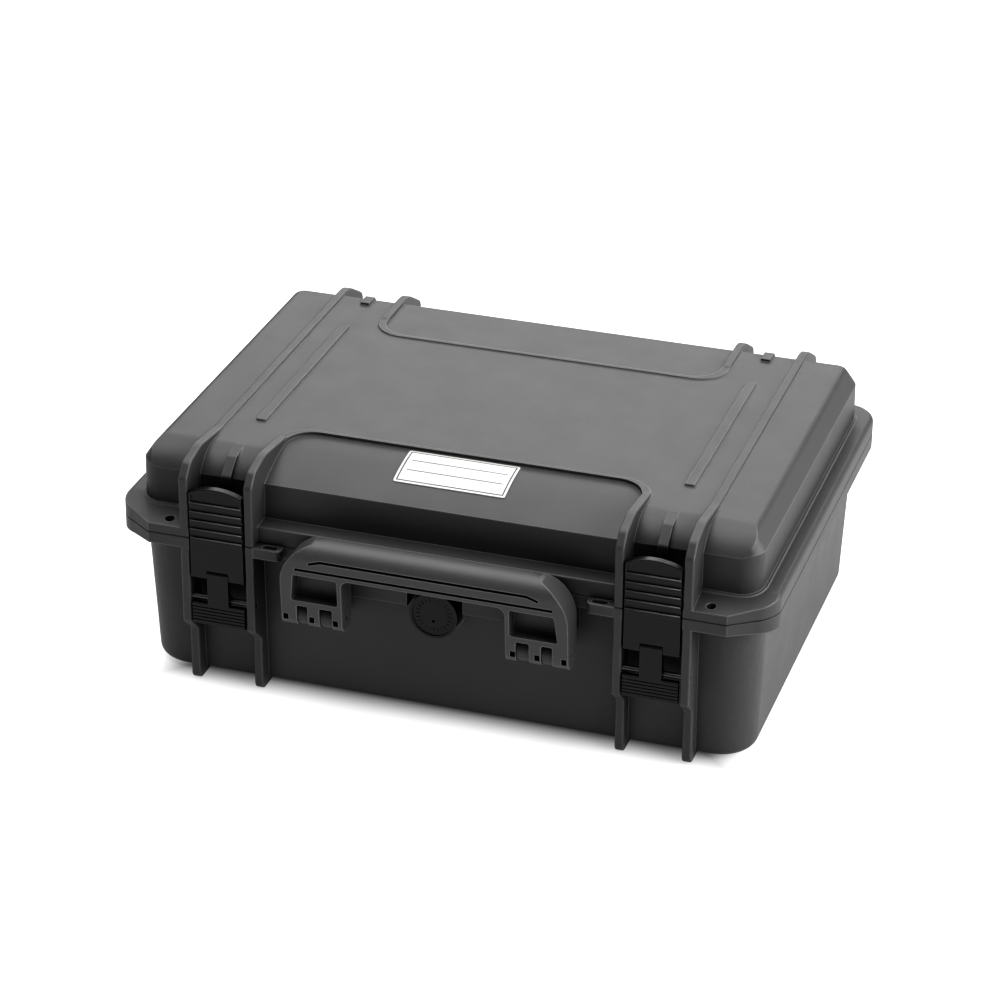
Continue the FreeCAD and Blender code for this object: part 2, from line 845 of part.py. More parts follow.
def lid_ribs():
    """Four ribs of the lid: the outer two cross it, the inner two end beside the pockets."""
    front, front_radii = front_rib_end()
    rear, rear_radii = rear_rib_end()
    tail_depth = rib_crest_depth - rib_tail_length
    root_height = lid_top_height - rib_tail_drop
    inner_root = (lid_half_depth_high - wall, parting_height)
    crest = (rib_crest_depth, rib_crest_height)
    tail = [crest, (tail_depth, lid_top_height), (tail_depth, root_height), inner_root]
    ribs = []
    for name, side in sides:
        low, high = span(side, outer_rib_inside, outer_rib_outside)
        points = front + [(-rib_crest_depth, rib_crest_height)] + rear
        ribs.append(rib_prism(points, front_radii + [rib_crest_radius] + rear_radii, low, high))
        low, high = span(side, inner_rib_inside, inner_rib_outside)
        front_tail = [(-y, z) for y, z in tail]
        ribs.append(rib_prism(front + front_tail, front_radii + [0] * len(tail), low, high))
        ribs.append(rib_prism(tail[::-1] + rear, [0] * len(tail) + rear_radii, low, high))
        for inside, outside in rib_spans:
            low, high = span(side, inside, outside)
            ribs.append(rod_x(hinge_distance, parting_height, hinge_eye_radius, low, high))
    return ribs


def lid_bars():
    """A long bar on each side of the lid's top, and a nub in line with it at each end."""
    pieces = []
    face = lid_half_depth_high
    low_z = lid_top_height - nub_bottom_drop
    brow_z = lid_top_height - nub_brow_drop
    rear_z = lid_top_height + rear_nub_rise
    front_nub = [
        (-face + nub_start_inset, lid_top_height),
        (-face + nub_knee_inset, lid_top_height - nub_knee_drop),
        (-face - nub_overhang, brow_z),
        (-face - nub_overhang, low_z),
        (-face + nub_root_inset, low_z),
    ]
    rear_nub = [
        (face - rear_nub_start_inset, rear_z),
        (face - nub_knee_inset, rear_z),
        (face + nub_overhang, brow_z),
        (face + nub_overhang, low_z),
        (face - rear_nub_start_inset, low_z),
    ]
    for name, side in sides:
        low, high = span(side, bar_inside, bar_inside + bar_width)
        top = lid_top_height + bar_height
        bar = prism_z(square(low, high, -bar_half_length, bar_half_length),
                      [bar_corner_radius] * 4, lid_top_height - bar_sink, top)
        pieces.append(eased(bar, bar_ease, "z", top))
        for outline in (front_nub, rear_nub):
            nub = prism_x(outline, [0, nub_radius, nub_radius, 0, 0], low, high)
            pieces.append(eased(eased(nub, bar_ease, "x", low), bar_ease, "x", high))
    return pieces


def lid_flange():
    """Flange round the lid with its bead, its corner plates and its raised lips."""
    flange = slab(flange_half_width, flange_half_depth, flange_corner_radius,
                  parting_height, lid_flange_top)
    flange = eased(flange, lid_flange_ease, "z", lid_flange_top)
    plates = [corner_plate(side, parting_height, lid_flange_top) for name, side in sides]
    bead = slab(lid_half_width_low + bead_width, lid_half_depth_low + bead_width,
                lid_corner_radius + bead_width, parting_height, lid_flange_top + bead_height)
    wedges = [front_wedge(lid_flange_top, -lid_slope_drop),
              front_wedge(lid_flange_top + bead_height, -lid_slope_drop)]
    pieces = [flange.fuse(plates).cut(wedges[0]), bead.cut(wedges[1])]
    for end in (-1, 1):
        outline = [
            (end * lid_half_depth_high, parting_height),
            (end * flange_half_depth, parting_height),
            (end * flange_half_depth, front_lip_height),
            (end * lid_half_depth_high, front_lip_height),
        ]
        pieces.append(prism_x(outline, [0, 0, front_lip_ease, 0],
                              -inner_rib_outside, inner_rib_outside))
    return pieces


def lid_shell():
    """Lid with its flange, ribs, bars and hinge eyes."""
    rims = [pocket_rim(-1, front_pocket_depth), pocket_rim(1, rear_pocket_depth)]
    shell = joined([lid_outside()] + lid_flange() + lid_ribs() + lid_bars() + rims)
    low = parting_height - overrun
    groove_top = parting_height + seal_groove_depth
    shell = shell.cut(seal_ring(seal_groove_width, 0, low, groove_top))
    ceiling = front_roll(front_pocket_depth, front_pocket_run - wall, pocket_arc - wall,
                         pocket_top - wall, low)
    shell = shell.cut(lid_block(wall, low).common(ceiling))
    cutters = padlock_bores()
    for name, side in sides:
        low_x, high_x = span(side, inner_rib_inside - overrun, outer_rib_outside + overrun)
        bore = hinge_pin_radius + running_clearance
        cutters.append(rod_x(hinge_distance, parting_height, bore, low_x, high_x))
    return shell.cut(cutters).removeSplitter()


def lid_gasket():
    """Rubber ring that fills the lid's groove."""
    top = parting_height + seal_groove_depth
    return seal_ring(seal_groove_width, seal_side_gap, top - seal_height, top)


def name_label():
    """Thin blank label that lies on the curve of the front pocket."""
    low_x = label_offset - label_length / 2
    high_x = label_offset + label_length / 2
    plan = prism_z(
        square(low_x, high_x, -label_distance - label_width / 2, -label_distance + label_width / 2),
        [label_corner_radius] * 4, parting_height, lid_top_height + overrun)
    under = pocket_arc + label_gap
    sheet = rod_x(-front_pocket_depth, pocket_centre_height, under + label_thickness,
                  low_x - overrun, high_x + overrun)
    below = rod_x(-front_pocket_depth, pocket_centre_height, under,
                  low_x - overrun, high_x + overrun)
    return plan.common(sheet.cut(below))


# Hinge pins

def hinge_pin(side):
    """Steel pin through one barrel of the tub and two eyes of the lid."""
    low, high = span(side, inner_rib_inside + pin_recess, outer_rib_outside - pin_recess)
    return rod_x(hinge_distance, parting_height, hinge_pin_radius, low, high)


# Latches

def latch_outline(half_width, bottom, shoulder, rise, depth):
    """Wire of a plate with an arched top, in the plane y = -depth."""
    top = shoulder + rise

    def at(x, z):
        return V(x, -depth, z)

    edges = [
        Part.LineSegment(at(-half_width, shoulder), at(-half_width, bottom)).toShape(),
        Part.LineSegment(at(-half_width, bottom), at(half_width, bottom)).toShape(),
        Part.LineSegment(at(half_width, bottom), at(half_width, shoulder)).toShape(),
        Part.Arc(at(half_width, shoulder), at(0, top), at(-half_width, shoulder)).toShape(),
    ]
    return Part.Wire(edges)


def latch_plate(side):
    """Upper latch piece: an arched plate with finger ridges, notched for the tongue."""
    outline = latch_outline(latch_half_width, latch_bottom, latch_shoulder,
                            latch_arch_rise, latch_front)
    plate = Part.Face(outline).extrude(V(0, latch_thickness, 0))
    plate = eased(plate, latch_ease, "y", -latch_front)
    reach = latch_half_width + overrun
    groove_face = -latch_front + latch_groove_depth
    cutters = []
    for i in range(latch_ridge_count - 1):
        top = latch_ridge_top - i * latch_ridge_pitch - latch_ridge_height
        low = latch_ridge_top - (i + 1) * latch_ridge_pitch
        cutters.append(box(-reach, reach, -latch_front - overrun, groove_face, low, top))
    crown = latch_outline(latch_half_width - latch_lip_height, latch_ridge_top,
                          latch_shoulder - latch_lip_height, latch_arch_rise, latch_front + overrun)
    cutters.append(Part.Face(crown).extrude(V(0, overrun + latch_groove_depth, 0)))
    last = latch_ridge_top - (latch_ridge_count - 1) * latch_ridge_pitch - latch_ridge_height
    cutters.append(box(-reach, reach, -latch_front - overrun, -latch_front + latch_face_recess,
                       latch_bottom - overrun, last))
    notch_half = tongue_width / 2 + tongue_side_gap
    notch_high = latch_pivot_height + tongue_half_thickness + tongue_top_gap
    cutters.append(box(-notch_half, notch_half, -latch_front - overrun,
                       -latch_front + latch_thickness + overrun,
                       latch_bottom - overrun, notch_high))
    cutters.append(rod_x(-latch_pivot_depth, latch_pivot_height,
                         latch_pin_radius + running_clearance, -reach, reach))
    back = -latch_front + latch_thickness
    nose_tip = -flange_half_depth - nose_gap
    nose = prism_x([(back - near, nose_bottom - nose_slope), (nose_tip, nose_bottom),
                    (nose_tip, nose_bottom + nose_height), (back - near, nose_bottom + nose_height)],
                   [0] * 4, -nose_half_width, nose_half_width)
    plate = plate.cut(cutters).fuse(nose).removeSplitter()
    plate.translate(V(side * latch_centre, 0, 0))
    return plate


def latch_link(side):
    """Lower latch piece: a tongue with a ribbed pull below its pivot."""
    front = -latch_front + tongue_inset
    back = -latch_pivot_depth + tongue_half_thickness
    half = tongue_width / 2
    tongue_top = latch_pivot_height + tongue_half_thickness
    round_end = tongue_half_thickness
    tongue = prism_x(square(front, back, link_panel_bottom + link_panel_ease, tongue_top),
                     [0, 0, round_end, round_end], -half, half)
    boss = rod_x(-link_pivot_depth, link_pivot_height, link_boss_radius, -half, half)
    panel = prism_x(square(front, front + link_panel_thickness, link_panel_bottom, link_panel_top),
                    [link_panel_ease] * 4, -link_half_width, link_half_width)
    cutters = []
    reach = link_half_width + overrun
    for i in range(link_groove_count):
        top = link_groove_top - i * link_groove_pitch
        cutters.append(box(-reach, reach, front - overrun, front + link_groove_depth,
                           top - link_groove_height, top))
    cutters.append(rod_x(-link_pivot_depth, link_pivot_height,
                         link_pin_radius + running_clearance, -reach, reach))
    cutters.append(rod_x(-latch_pivot_depth, latch_pivot_height, latch_pin_radius, -reach, reach))
    link = tongue.fuse([boss, panel]).cut(cutters).removeSplitter()
    link.translate(V(side * latch_centre, 0, 0))
    return link


def latch_base_pin(side):
    """Steel pin across the latch bay, held in the two ribs of the tub."""
    low, high = span(side, inner_rib_inside + pin_recess, outer_rib_outside - pin_recess)
    return rod_x(-link_pivot_depth, link_pivot_height, link_pin_radius, low, high)


def latch_link_pin(side):
    """Steel pin that joins the latch plate to the link's tongue."""
    half = latch_half_width - pin_recess
    low, high = span(side, latch_centre - half, latch_centre + half)
    return rod_x(-latch_pivot_depth, latch_pivot_height, latch_pin_radius, low, high)


# Handle

def handle_body():
    """Outer form of the handle before its windows and slots."""
    outline = [
        (-handle_half_width, handle_bottom),
        (-handle_half_width, handle_top),
        (handle_half_width, handle_top),
        (handle_half_width, handle_bottom),
        (handle_leg_inside, handle_bottom),
        (handle_leg_inside, handle_grip_bottom),
        (-handle_leg_inside, handle_grip_bottom),
        (-handle_leg_inside, handle_bottom),
    ]
    radii = [0, handle_corner_radius, handle_corner_radius, 0,
             0, handle_inner_radius, handle_inner_radius, 0]
    front = prism_y(outline, radii, -handle_front_high - overrun, -handle_back + overrun)
    profile = [
        (-handle_front_low, handle_bottom),
        (-handle_front_high, handle_grip_bottom),
        (-handle_front_high, handle_top),
        (-handle_back, handle_top),
        (-handle_back, handle_bottom),
    ]
    bends = [handle_foot_radius, 0, handle_front_radius, handle_rear_radius, handle_foot_radius]
    reach = handle_half_width + overrun
    return front.common(prism_x(profile, bends, -reach, reach))


def grip_slot(height, half_length, droop):
    """Cutter for one long slot in the front of the grip, with drooping ends."""
    half = grip_slot_height / 2
    bend = half_length - grip_slot_bend
    points = [
        (-half_length, height - droop - half), (-bend, height - half),
        (bend, height - half), (half_length, height - droop - half),
        (half_length, height - droop + half), (bend, height + half),
        (-bend, height + half), (-half_length, height - droop + half),
    ]
    return prism_y(points, [0] * len(points), -handle_front_high - overrun,
                   -handle_front_high + grip_slot_depth)


def leg_cutters(side):
    """Cutters for the window, the knuckle slots and the small pockets of one leg."""
    window = [
        (side * window_inner, window_low),
        (side * window_outer, window_low),
        (side * (window_outer - window_lean), window_high),
        (side * window_inner, window_high),
    ]
    cutters = [prism_y(window, [window_radius] * 4, -handle_front_high - overrun,
                       -handle_front_high + window_depth)]
    for inside, outside in knuckle_spans:
        low, high = span(side, inside - knuckle_gap, outside + knuckle_gap)
        slot = square(low, high, handle_bottom - overrun, knuckle_slot_top)
        cutters.append(prism_y(slot, [0, 0, knuckle_slot_radius, knuckle_slot_radius],
                               -handle_front_high - overrun, -handle_back + overrun))
    for end in prong_pocket_ends:
        low, high = span(side, end - prong_pocket_width, end)
        cutters.append(box(low, high, -handle_front_high - overrun,
                           -handle_front_low + prong_pocket_depth, prong_pocket_bottom,
                           prong_pocket_bottom + prong_pocket_height))
    low, high = span(side, handle_leg_inside - overrun, handle_half_width + overrun)
    cutters.append(rod_x(-handle_pivot_depth, handle_pivot_height,
                         handle_pin_radius + running_clearance, low, high))
    return cutters


def carry_handle():
    """U-shaped handle that folds up against the front of the case."""
    cutters = [grip_slot(height, half_length, droop) for height, half_length, droop in grip_slots]
    for name, side in sides:
        cutters += leg_cutters(side)
    return handle_body().cut(cutters).removeSplitter()


def handle_pin(side):
    """Steel pin through one leg's three prongs and the tub's two arms."""
    low, high = span(side, handle_leg_inside + handle_pin_recess,
                     handle_half_width - handle_pin_recess)
    return rod_x(-handle_pivot_depth, handle_pivot_height, handle_pin_radius, low, high)


# Pressure valve

def valve_body():
    """Valve housing with its threaded stem, its air bore and the membrane's chamber."""
    head = rod_y(0, valve_height, valve_radius, -valve_cap_back, -valve_body_back)
    stem = rod_y(0, valve_height, valve_stem_radius, -valve_body_back, -valve_stem_end)
    bore = rod_y(0, valve_height, valve_bore_radius, -valve_cap_back, -valve_stem_end)
    chamber = rod_y(0, valve_height, valve_chamber_radius, -valve_cap_back,
                    -valve_cap_back + valve_chamber_depth)
    return head.fuse(stem).cut([bore, chamber]).removeSplitter()


def valve_cap():
    """Front disc of the valve with a rim, a dished face and a vent."""
    disc = rod_y(0, valve_height, valve_radius, -valve_front, -valve_cap_back)
    dish = rod_y(0, valve_height, valve_radius - valve_cap_rim, -valve_front,
                 -valve_front + valve_cap_recess)
    vent = rod_y(0, valve_height - valve_vent_drop, valve_vent_radius,
                 -valve_front, -valve_cap_back)
    return disc.cut([dish, vent])


def valve_seal_ring():
    """Rubber washer between the valve and its seat on the tub."""
    outer = rod_y(0, valve_height, valve_seal_radius, -valve_body_back, -valve_seat_depth)
    return outer.cut(rod_y(0, valve_height, valve_stem_radius, -valve_body_back,
                           -valve_seat_depth))


def valve_nut():
    """Hexagon nut on the stem, inside the tub."""
    corner = valve_nut_half_flat / math.cos(math.pi / valve_nut_sides)
    points = []
    for i in range(valve_nut_sides):
        angle = 2 * math.pi * i / valve_nut_sides
        points.append((corner * math.cos(angle), valve_height + corner * math.sin(angle)))
    front = -valve_inner_seat_depth
    nut = prism_y(points, [0] * valve_nut_sides, front, front + valve_nut_thickness)
    return nut.cut(rod_y(0, valve_height, valve_stem_radius, front, front + valve_nut_thickness))


def valve_membrane():
    """Thin disc that lets air through and keeps water out."""
    seat = -valve_cap_back + valve_chamber_depth
    return rod_y(0, valve_height, valve_chamber_radius, seat - valve_membrane_thickness, seat)


# Every piece under its own name

def pieces():
    """Name and solid of every separate piece of the case."""
    yield "base_shell", base_shell()
    yield "lid_shell", lid_shell()
    yield "lid_gasket", lid_gasket()
    yield "name_label", name_label()
    yield "carry_handle", carry_handle()
    yield "valve_body", valve_body()
    yield "valve_cap", valve_cap()
    yield "valve_seal_ring", valve_seal_ring()
    yield "valve_nut", valve_nut()
    yield "valve_membrane", valve_membrane()
    for name, side in sides:
        yield "hinge_pin_" + name, hinge_pin(side)
        yield "latch_" + name + "_plate", latch_plate(side)
        yield "latch_" + name + "_link", latch_link(side)
        yield "latch_" + name + "_base_pin", latch_base_pin(side)
        yield "latch_" + name + "_link_pin", latch_link_pin(side)
        yield "handle_pin_" + name, handle_pin(side)


def main():
    os.makedirs("parts", exist_ok=True)
    for name, shape in pieces():
        shape.translate(V(0, body_shift, 0))
        shape.exportStep(os.path.join("parts", name + ".step"))
        bounds = shape.BoundBox
        print(name, "solids", len(shape.Solids), "valid", shape.isValid(),
              "volume", round(shape.Volume), "from",
              [round(v, 1) for v in (bounds.XMin, bounds.YMin, bounds.ZMin)], "to",
              [round(v, 1) for v in (bounds.XMax, bounds.YMax, bounds.ZMax)])


main()
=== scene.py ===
import json
import math

import bmesh
import bpy
from mathutils import Matrix, Vector


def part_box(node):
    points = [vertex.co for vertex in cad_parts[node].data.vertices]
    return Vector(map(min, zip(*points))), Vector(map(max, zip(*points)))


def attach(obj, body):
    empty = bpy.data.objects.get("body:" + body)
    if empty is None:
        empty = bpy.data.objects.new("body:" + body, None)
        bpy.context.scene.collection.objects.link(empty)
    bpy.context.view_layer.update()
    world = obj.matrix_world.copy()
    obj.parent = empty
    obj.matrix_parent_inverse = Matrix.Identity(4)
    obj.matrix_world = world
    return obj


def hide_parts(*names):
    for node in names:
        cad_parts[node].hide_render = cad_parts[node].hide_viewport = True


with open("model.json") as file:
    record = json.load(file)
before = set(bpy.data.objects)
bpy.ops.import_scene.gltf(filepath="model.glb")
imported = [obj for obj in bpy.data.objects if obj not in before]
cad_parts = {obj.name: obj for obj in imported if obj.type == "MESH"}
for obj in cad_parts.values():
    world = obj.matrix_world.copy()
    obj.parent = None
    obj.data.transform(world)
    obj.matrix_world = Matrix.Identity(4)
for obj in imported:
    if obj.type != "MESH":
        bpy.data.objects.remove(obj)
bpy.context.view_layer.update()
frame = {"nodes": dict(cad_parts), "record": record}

bl_info = {
    "name": "Waterproof hard case",
    "version": (1, 0, 0),
    "blender": (4, 5, 0),
    "location": "3D View > Sidebar > Hard case",
    "description": "Finishes a moulded hard case and sets it in a plain studio",
    "category": "Object",
}

# Lengths are in metres, as the frame has them
mm = 0.001
sides = ("left", "right")
# Most of a noise texture's values lie in this span, which Map Range nodes spread out
noise_span = {"From Min": 0.3, "From Max": 0.7}


def colour(code):
    """Linear red, green and blue from an sRGB hex code such as #404040."""
    parts = [int(code[i:i + 2], 16) / 255 for i in (1, 3, 5)]
    return [p / 12.92 if p <= 0.04045 else ((p + 0.055) / 1.055) ** 2.4 for p in parts]


def add(tree, kind, inputs=None, **settings):
    """Adds one node. An input is a plain value or an output socket to link from."""
    node = tree.nodes.new(kind)
    for name, value in settings.items():
        setattr(node, name, value)
    for name, value in (inputs or {}).items():
        if isinstance(value, bpy.types.NodeSocket):
            tree.links.new(value, node.inputs[name])
        else:
            node.inputs[name].default_value = value
    return node


def blank_material(name):
    """An empty material, its node tree and the object coordinates to lay textures by."""
    material = bpy.data.materials.new(name)
    material.use_nodes = True
    tree = material.node_tree
    tree.nodes.clear()
    return material, tree, add(tree, "ShaderNodeTexCoord").outputs["Object"]


# Finishes

def moulded_plastic(name, base, rough, grain, grain_depth, mottle, round_edge, edge_wear_and_highlight, seam=None):
    """Injection-moulded plastic out of a spark-eroded mould: a fine matt grain, a slow change of
    tone where the melt flowed, satin patches where hands and shelves have polished it, fine scuffs.
    Mottle is how far the tone wanders, edge_wear_and_highlight how much paler an edge is painted,
    partly as scuffing and partly as a painted highlight, both as shares."""
    flow_width = 90 * mm
    rub_width = 28 * mm
    streak_width = 34 * mm
    fleck_width = 1.3 * mm
    flow_depth = 0.06 * mm
    scuff_paler, scuff_duller = 0.16, 0.08
    shade_reach = 5 * mm
    wide_edge = 1.5 * round_edge
    rays = 6
    material, tree, place = blank_material(name)
    flow = add(tree, "ShaderNodeTexNoise", {"Vector": place, "Scale": 1 / flow_width, "Detail": 3.0,
                                            "Roughness": 0.55}).outputs["Fac"]
    fleck = add(tree, "ShaderNodeTexNoise", {"Vector": place, "Scale": 1 / fleck_width,
                                             "Detail": 2.0}).outputs["Fac"]
    rub_and_highlight = add(tree, "ShaderNodeTexNoise", {"Vector": place, "Scale": 1 / rub_width,
                                              "Detail": 5.0, "Roughness": 0.62}).outputs["Fac"]
    # The grain of such a mould is 0.1 to 0.2 mm wide and is drawn coarser, or it wouldn't show
    grit = add(tree, "ShaderNodeTexNoise", {"Vector": place, "Scale": 1 / grain,
                                            "Detail": 3.0, "Roughness": 0.6}).outputs["Fac"]
    # Scuffs: thin streaks that run at a slant, only where their noise is strongest
    turned = add(tree, "ShaderNodeMapping", {"Vector": place, "Rotation": (0.4, 0.25, 0.7),
                                             "Scale": (1.0, 14.0, 6.0)}).outputs["Vector"]
    streak = add(tree, "ShaderNodeTexNoise", {"Vector": turned, "Scale": 1 / streak_width,
                                              "Detail": 4.0, "Roughness": 0.7}).outputs["Fac"]
    scuff = add(tree, "ShaderNodeMapRange", {"Value": streak, "From Min": 0.66, "From Max": 0.74,
                                             "To Min": 0.0, "To Max": 1.0}).outputs["Result"]
    tone = add(tree, "ShaderNodeMapRange", {"Value": flow, **noise_span, "To Min": 1 - mottle,
                                            "To Max": 1 + mottle}).outputs["Result"]
    speck = add(tree, "ShaderNodeMapRange", {"Value": fleck, **noise_span,
                                             "To Min": 0.97, "To Max": 1.03}).outputs["Result"]
    both = add(tree, "ShaderNodeMath", {0: tone, 1: speck}, operation="MULTIPLY").outputs[0]
    wear_and_highlight = add(tree, "ShaderNodeMath", {0: scuff, 1: scuff_paler, 2: both},
               operation="MULTIPLY_ADD").outputs[0]
    paint = add(tree, "ShaderNodeVectorMath", {0: base[:3], "Scale": wear_and_highlight},
                operation="SCALE").outputs[0]
    gloss = add(tree, "ShaderNodeMapRange", {"Value": rub_and_highlight, **noise_span, "To Min": rough - 0.02,
                                             "To Max": rough + 0.03}).outputs["Result"]
    gloss = add(tree, "ShaderNodeMath", {0: scuff, 1: scuff_duller, 2: gloss},
                operation="MULTIPLY_ADD").outputs[0]
    # Moulded edges are never sharp: a small round on each of them catches a line of light
    edge = add(tree, "ShaderNodeBevel", {"Radius": round_edge}, samples=rays).outputs[0]
    # Narrow grooves and pockets are painted darker: painted shade in the recesses, from an ambient
    # occlusion node
    painted_recess_shade = add(tree, "ShaderNodeAmbientOcclusion", {"Distance": shade_reach},
                   samples=rays).outputs["AO"]
    painted_recess_shade = add(tree, "ShaderNodeMapRange",
                   {"Value": painted_recess_shade, "From Min": 0.15, "From Max": 0.6,
                    "To Min": 0.35, "To Max": 1.0}).outputs["Result"]
    paint = add(tree, "ShaderNodeVectorMath", {0: paint, "Scale": painted_recess_shade},
                operation="SCALE").outputs[0]
    # Where the wide round leans away from the face the edge is painted paler: partly scuffing,
    # partly a painted highlight along the edge
    wide = add(tree, "ShaderNodeBevel", {"Radius": wide_edge}, samples=rays).outputs[0]
    facing = add(tree, "ShaderNodeNewGeometry").outputs["Normal"]
    lean = add(tree, "ShaderNodeVectorMath", {0: wide, 1: facing},
               operation="DOT_PRODUCT").outputs["Value"]
    edge_wear_and_highlight_scale = add(tree, "ShaderNodeMapRange", {"Value": lean, "From Min": 0.95, "From Max": 0.9995,
                                            "To Min": 1 + edge_wear_and_highlight, "To Max": 1.0}).outputs["Result"]
    paint = add(tree, "ShaderNodeVectorMath", {0: paint, "Scale": edge_wear_and_highlight_scale},
                operation="SCALE").outputs[0]
    if seam is not None:
        paint, edge = parting_seam(tree, place, seam, paint, edge)
    fine = add(tree, "ShaderNodeBump", {"Height": grit, "Strength": 0.5, "Distance": grain_depth,
                                        "Normal": edge})
    slow = add(tree, "ShaderNodeBump", {"Height": flow, "Strength": 0.3, "Distance": flow_depth,
                                        "Normal": fine.outputs[0]})
    skin = add(tree, "ShaderNodeBsdfPrincipled", {"Base Color": paint, "Roughness": gloss,
                                                  "IOR": 1.49, "Normal": slow.outputs[0]})
    add(tree, "ShaderNodeOutputMaterial", {"Surface": skin.outputs[0]})
    return material


def parting_seam(tree, place, height, paint, normal):
    """Dark line where tub and lid meet, between two small rounds, on upright faces only."""
    # The line is darkest up to line_half from the joint and gone at line_end
    line_half, line_end = 0.3 * mm, 0.8 * mm
    dip_half, dip_depth = 0.9 * mm, 0.6 * mm
    steepest = 0.5
    level = add(tree, "ShaderNodeSeparateXYZ", {"Vector": place}).outputs["Z"]
    away = add(tree, "ShaderNodeMath", {0: level, 1: height}, operation="SUBTRACT").outputs[0]
    away = add(tree, "ShaderNodeMath", {0: away}, operation="ABSOLUTE").outputs[0]
    facing = add(tree, "ShaderNodeNewGeometry").outputs["Normal"]
    steep = add(tree, "ShaderNodeSeparateXYZ", {"Vector": facing}).outputs["Z"]
    steep = add(tree, "ShaderNodeMath", {0: steep}, operation="ABSOLUTE").outputs[0]
    upright = add(tree, "ShaderNodeMath", {0: steep, 1: steepest},
                  operation="LESS_THAN").outputs[0]
    line = add(tree, "ShaderNodeMapRange",
               {"Value": away, "From Min": line_half, "From Max": line_end,
                "To Min": 0.95, "To Max": 0.0}).outputs["Result"]
    line = add(tree, "ShaderNodeMath", {0: line, 1: upright}, operation="MULTIPLY").outputs[0]
    kept = add(tree, "ShaderNodeMath", {0: 1.0, 1: line}, operation="SUBTRACT").outputs[0]
    paint = add(tree, "ShaderNodeVectorMath", {0: paint, "Scale": kept},
                operation="SCALE").outputs[0]
    dip = add(tree, "ShaderNodeMapRange", {"Value": away, "From Min": 0.0, "From Max": dip_half,
                                           "To Min": 0.0, "To Max": 1.0},
              interpolation_type="SMOOTHSTEP").outputs["Result"]
    bent = add(tree, "ShaderNodeBump", {"Height": dip, "Strength": 0.8, "Distance": dip_depth,
                                        "Normal": normal}).outputs[0]
    return paint, bent


def drawn_steel(name, base):
    """Drawn stainless rod, cut to length, dulled by use, with fine lines from the die."""
    line_pitch, line_depth, smear_width = 0.2 * mm, 0.02 * mm, 6 * mm
    material, tree, place = blank_material(name)
    # Drawing lines run along the rod, which lies along X. They are coarser than real ones, which
    # are about 0.02 mm apart and wouldn't show
    drawn = add(tree, "ShaderNodeMapping",
                {"Vector": place, "Scale": (0.03, 1.0, 1.0)}).outputs["Vector"]
    lines = add(tree, "ShaderNodeTexNoise", {"Vector": drawn, "Scale": 1 / line_pitch,
                                             "Detail": 2.0}).outputs["Fac"]
    smear = add(tree, "ShaderNodeTexNoise", {"Vector": place, "Scale": 1 / smear_width,
                                             "Detail": 3.0}).outputs["Fac"]
    tone = add(tree, "ShaderNodeMapRange", {"Value": smear, **noise_span,
                                            "To Min": 0.88, "To Max": 1.05}).outputs["Result"]
    paint = add(tree, "ShaderNodeVectorMath", {0: base[:3], "Scale": tone},
                operation="SCALE").outputs[0]
    gloss = add(tree, "ShaderNodeMapRange", {"Value": lines, "From Min": 0.2, "From Max": 0.8,
                                             "To Min": 0.3, "To Max": 0.46}).outputs["Result"]
    bump = add(tree, "ShaderNodeBump", {"Height": lines, "Strength": 0.3, "Distance": line_depth})
    skin = add(tree, "ShaderNodeBsdfPrincipled", {"Base Color": paint, "Metallic": 1.0,
                                                  "Roughness": gloss, "Normal": bump.outputs[0]})
    add(tree, "ShaderNodeOutputMaterial", {"Surface": skin.outputs[0]})
    return material


def seal_rubber(name, base):
    """Extruded or moulded rubber: a dull black with a faint bloom and tiny pits."""
    # Real pits are about 0.1 mm wide. These are wider, so that they show
    bloom_width, pit_width, pit_depth = 14 * mm, 0.7 * mm, 0.06 * mm
    material, tree, place = blank_material(name)
    bloom = add(tree, "ShaderNodeTexNoise", {"Vector": place, "Scale": 1 / bloom_width,
                                             "Detail": 4.0}).outputs["Fac"]
    pits = add(tree, "ShaderNodeTexNoise", {"Vector": place, "Scale": 1 / pit_width,
                                            "Detail": 2.0}).outputs["Fac"]
    tone = add(tree, "ShaderNodeMapRange", {"Value": bloom, "From Min": 0.35, "From Max": 0.7,
                                            "To Min": 0.85, "To Max": 1.5}).outputs["Result"]
    paint = add(tree, "ShaderNodeVectorMath", {0: base[:3], "Scale": tone},
                operation="SCALE").outputs[0]
    gloss = add(tree, "ShaderNodeMapRange", {"Value": bloom, **noise_span,
                                             "To Min": 0.62, "To Max": 0.8}).outputs["Result"]
    bump = add(tree, "ShaderNodeBump", {"Height": pits, "Strength": 0.4, "Distance": pit_depth})
    skin = add(tree, "ShaderNodeBsdfPrincipled", {"Base Color": paint, "Roughness": gloss,
                                                  "IOR": 1.52, "Normal": bump.outputs[0]})
    add(tree, "ShaderNodeOutputMaterial", {"Surface": skin.outputs[0]})
    return material


